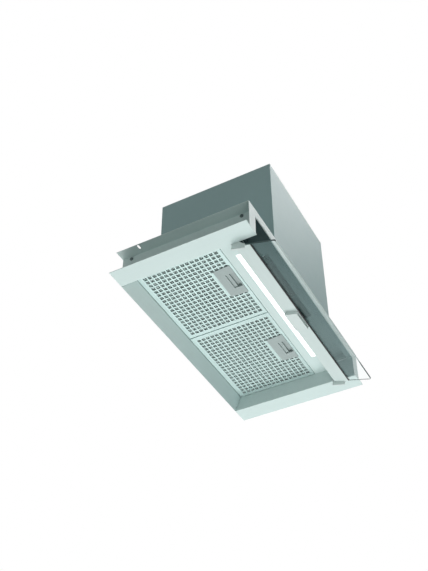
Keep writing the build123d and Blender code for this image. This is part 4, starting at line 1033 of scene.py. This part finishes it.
for side in SIDES:
    spring = f"latch_spring_{side}"
    slide = joint_named(f"latch_{side}_slide")
    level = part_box(f"latch_slider_{side}")[1].y + CROSSBAR_BACK
    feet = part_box(spring)[1].y
    spring_frame = cut_copy(f"latch_spring_frame_{side}", spring, level, False)
    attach(spring_frame, f"latch_{side}")
    spring_legs = cut_copy(f"latch_spring_legs_{side}", spring, level, True)
    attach(spring_legs, f"filter_{side}")
    left_over = 1 - slide["range_m"][1] / (feet - level)
    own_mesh(spring_legs)
    for piece in (spring_frame, spring_legs):
        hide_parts(spring)
    print(spring, "legs", feet - level, "m long, of which", left_over, "is left over")

# %% [markdown]
# The sheets are joined with hexagon screws that also have a cross recess. One head is modelled
# once, with the cross sunk into its top, and a tree places a copy at every point of a small mesh
# of places. The places come from the CAD screws, and so does the size of the hexagon; the way
# each set of heads faces is given.

# %% Screw heads
HEAD_SIDES = 6
# Each ring's share of the head's radius and of its height
HEAD_PROFILE = ((1.0, 0.0), (1.0, 0.78), (0.96, 0.92), (0.86, 1.0))
CROSS_REACH = 1.9 * MM
CROSS_ARM = CROSS_REACH / 3.2
CROSS_CORNERS = ((CROSS_ARM, -CROSS_ARM), (CROSS_REACH, -CROSS_ARM), (CROSS_REACH, CROSS_ARM))
CROSS_DEPTH = 1.2 * MM
CROSS_TAPER = 0.8


def hexagon_head(corner, height):
    """Hexagon head on the XY plane with bevelled edges and a sunk cross."""
    shape = bmesh.new()
    rings = []
    for share, up in HEAD_PROFILE:
        ring = []
        for number in range(HEAD_SIDES):
            turn = 2 * math.pi * number / HEAD_SIDES
            across = corner * share * math.cos(turn)
            along = corner * share * math.sin(turn)
            ring.append(shape.verts.new((across, along, height * up)))
        rings.append(ring)
    for ring, after in zip(rings, rings[1:]):
        bridge(shape, ring, after)
    cross = []
    for quarter in range(4):
        turn = Matrix.Rotation(math.pi / 2 * quarter, 2)
        cross += [turn @ Vector(point) for point in CROSS_CORNERS]
    top = [shape.verts.new((x, y, height)) for x, y in cross]
    sunk = [shape.verts.new((*(point * CROSS_TAPER), height - CROSS_DEPTH)) for point in cross]
    last = rings[-1]
    count = len(top)
    edges = [shape.edges.new((top[number], top[(number + 1) % count])) for number in range(count)]
    for number in range(HEAD_SIDES):
        edges.append(shape.edges.get((last[number], last[(number + 1) % HEAD_SIDES])))
    bmesh.ops.triangle_fill(shape, use_beauty=True, edges=edges)
    bridge(shape, top, sunk)
    shape.faces.new(sunk)
    shape.faces.new(list(reversed(rings[0])))
    bmesh.ops.recalc_face_normals(shape, faces=shape.faces)
    mesh = bpy.data.meshes.new("hexagon head")
    shape.to_mesh(mesh)
    shape.free()
    mesh.shade_smooth()
    mesh.set_sharp_from_angle(angle=math.radians(25))
    return mesh


def solids_of(node):
    """Lowest and highest corner of each separate solid of a CAD node, from left to right."""
    shape = merged_copy(node)
    left = set(shape.verts)
    found = []
    while left:
        group = set()
        fresh = [left.pop()]
        while fresh:
            vertex = fresh.pop()
            group.add(vertex)
            for edge in vertex.link_edges:
                other = edge.other_vert(vertex)
                if other in left:
                    left.remove(other)
                    fresh.append(other)
        found.append(box_round([vertex.co for vertex in group]))
    shape.free()
    return sorted(found, key=lambda box: tuple(box[0]))


def screws_tree(name, head, facing):
    """Tree that sets a head on each point of the object's own mesh, turned to face one way."""
    tree = Tree(name, Facing=facing, Seed=1)
    tree.group.interface.new_socket("Places", in_out="INPUT", socket_type="NodeSocketGeometry")
    tree.group.interface.move_to_parent(tree.group.interface.items_tree["Places"], None, 0)
    source = tree.add("GeometryNodeObjectInfo", {"transform_space": "ORIGINAL"}, {"Object": head})
    sockets = {2: 0.0, 3: math.pi, "Seed": tree.size("Seed")}
    twist = tree.add("FunctionNodeRandomValue", {"data_type": "FLOAT"}, sockets)
    sockets = {"Vector": tree.size("Facing")}
    upright = tree.add("FunctionNodeAlignRotationToVector", {"axis": "Z"}, sockets)
    sockets = {"Axis": (0, 0, 1), "Angle": twist.outputs[1]}
    spin = tree.add("FunctionNodeAxisAngleToRotation", {}, sockets)
    sockets = {0: upright, 1: spin}
    turned = tree.add("FunctionNodeRotateRotation", {"rotation_space": "LOCAL"}, sockets)
    sockets = {
        "Points": tree.input.outputs["Places"],
        "Instance": source.outputs["Geometry"],
        "Rotation": turned,
    }
    tree.end(tree.add("GeometryNodeInstanceOnPoints", {}, sockets))
    return tree


def places_mesh(points):
    mesh = bpy.data.meshes.new("places")
    mesh.from_pydata(points, [], [])
    return mesh


def seat(low, high, facing):
    """Where a head stands: the middle of the side of a box that faces away from facing."""
    half = (high - low) / 2
    return low + half - facing * abs(half.dot(facing))


def screw_heads(name, node, material, facings):
    """Set heads on the solids of a CAD node. Heads that face sideways go on that side's solids."""
    template = bpy.data.objects.new("head", HEXAGON_HEAD)
    bpy.context.scene.collection.objects.link(template)
    sets = []
    for number, facing in enumerate(facings):
        solids = [(low, high) for low, high in solids_of(node) if facing.x * low.x >= 0]
        places = places_mesh([seat(low, high, facing) for low, high in solids])
        tree = screws_tree(f"{name} {number}", template, facing)
        sets.append(tree.grow(f"{name}_{number}", material, places))
    bpy.data.objects.remove(template)
    heads = join(name, sets)
    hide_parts(node)
    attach(heads, "housing")


first_low, first_high = solids_of("side_screws")[0]
HEAD_HEIGHT = first_high.x - first_low.x
HEAD_CORNER = max(first_high.y - first_low.y, first_high.z - first_low.z) / 2
HEXAGON_HEAD = hexagon_head(HEAD_CORNER, HEAD_HEIGHT)
screw_heads("side_screw_heads", "side_screws", dark_zinc, [Vector((-1, 0, 0)), Vector((1, 0, 0))])
screw_heads("box_screw_heads", "box_screws", zinc, [Vector((0, 0, 1))])
print("screw heads", HEAD_CORNER * 2, "m over the corners and", HEAD_HEIGHT, "m high")

# %% [markdown]
# The studio is plain: a pale floor 2.8 m below the hood, a white world, and soft lamps. The hood
# hangs in the air, so the light that matters comes up from below and from the front, as a pale room
# would give it. The floor fades to white away from the middle, so no horizon shows. The background
# is white to the camera, to reflections and through glass, while the light that reaches the paint is
# set apart from it: Light Path tells the kinds of rays from each other.

# %% Floor
FLOOR_HEIGHT = -2.8
FLOOR_HALF = 30.0
FLOOR_GLOW = 0.45
FADE_FROM = 2.0
FADE_TO = 7.0


def ray_kinds(paint, *kinds):
    """Values that are each 1 for one kind of ray."""
    path = paint.add("ShaderNodeLightPath")
    return [Value(paint, path.outputs[f"Is {kind} Ray"]) for kind in kinds]


def seen_directly(paint):
    """1 for camera, mirror and glass rays, and 0 for light that falls on paint."""
    camera_ray, mirror_ray, glass_ray = ray_kinds(paint, "Camera", "Glossy", "Transmission")
    return camera_ray.larger(mirror_ray).larger(glass_ray)


def seen_in_mirror(paint):
    """1 for rays that a shiny surface sends back, and 0 for those that glass lets through."""
    mirror_ray, glass_ray = ray_kinds(paint, "Glossy", "Transmission")
    return mirror_ray > glass_ray


def far_from_middle(paint):
    """0 under the hood and 1 at the far parts of the floor."""
    across, along = paint.axes()[:2]
    away = (across * across + along * along) ** 0.5
    return away.ramp(FADE_FROM, FADE_TO)


def white_glow(paint, strength):
    node = paint.add("ShaderNodeEmission", {}, {"Color": (1, 1, 1, 1), "Strength": strength})
    return node.outputs[0]


def mixed(paint, factor, first, second):
    node = paint.add("ShaderNodeMixShader", {}, {0: factor, 1: first, 2: second})
    return node.outputs[0]


def pale_floor():
    paint = Paint("pale floor", Roughness=0.9)
    tone = paint.noise(2, 3)
    paint.shade(Base_Color=paint.blend(tone, (0.78, 0.80, 0.80), (0.82, 0.84, 0.84)))
    white = white_glow(paint, 1.0)
    glow = mixed(paint, seen_in_mirror(paint), white_glow(paint, FLOOR_GLOW), white)
    seen_glow = mixed(paint, seen_directly(paint), white_glow(paint, 0.0), glow)
    near = paint.add("ShaderNodeAddShader", {}, {0: paint.shader.outputs[0], 1: seen_glow})
    fade = far_from_middle(paint) * seen_directly(paint)
    whole = mixed(paint, fade, near.outputs[0], white)
    paint.link(whole, paint.output.inputs["Surface"])
    return paint.material


floor_shape = bmesh.new()
bmesh.ops.create_grid(floor_shape, x_segments=1, y_segments=1, size=FLOOR_HALF)
bmesh.ops.translate(floor_shape, verts=floor_shape.verts, vec=(0, 0, FLOOR_HEIGHT))
floor = piece_from("floor", floor_shape, pale_floor())

# %% World
WORLD_LIGHT = 0.16


class WorldPaint(Paint):
    """The same helper for the world's nodes."""

    def __init__(self, name):
        self.world = bpy.data.worlds.new(name)
        self.world.use_nodes = True
        self.tree = self.world.node_tree
        self.tree.nodes.clear()


sky = WorldPaint("white room")
strength = seen_directly(sky) * (1 - WORLD_LIGHT) + WORLD_LIGHT
background = sky.add("ShaderNodeBackground", {}, {"Color": (1, 1, 1, 1), "Strength": strength})
sky.link(background.outputs[0], sky.add("ShaderNodeOutputWorld").inputs["Surface"])
bpy.context.scene.world = sky.world
print("floor", FLOOR_HEIGHT, "m below the slots, world light", WORLD_LIGHT)

# %% [markdown]
# Four square lamps light the hood. The largest share comes from below, the next from above, and
# two weak ones reach the front and the left wall. They are hidden from the camera and from rays
# through glass, because they would show as white patches in the visor.

# %% Lamps


def soft_lamp(name, place, aim, size, watts):
    data = bpy.data.lights.new(name, "AREA")
    data.shape = "SQUARE"
    data.size = size
    data.energy = watts
    lamp = bpy.data.objects.new(name, data)
    lamp.location = place
    lamp.rotation_euler = (Vector(aim) - Vector(place)).to_track_quat("-Z", "Y").to_euler()
    lamp.visible_camera = False
    lamp.visible_transmission = False
    bpy.context.scene.collection.objects.link(lamp)


soft_lamp("front below", place=(-0.8, -1.5, -1.0), aim=(0, -0.1, 0), size=1.6, watts=8)
soft_lamp("below", place=(0.5, 0.1, -1.6), aim=(0, 0, 0), size=2.0, watts=29)
soft_lamp("above", place=(0.6, -0.8, 2.0), aim=(0, -0.1, 0.1), size=1.6, watts=21)
soft_lamp("left", place=(-1.5, 0.8, -0.4), aim=(-0.25, 0.05, -0.03), size=1.2, watts=4)
print("four soft lamps")
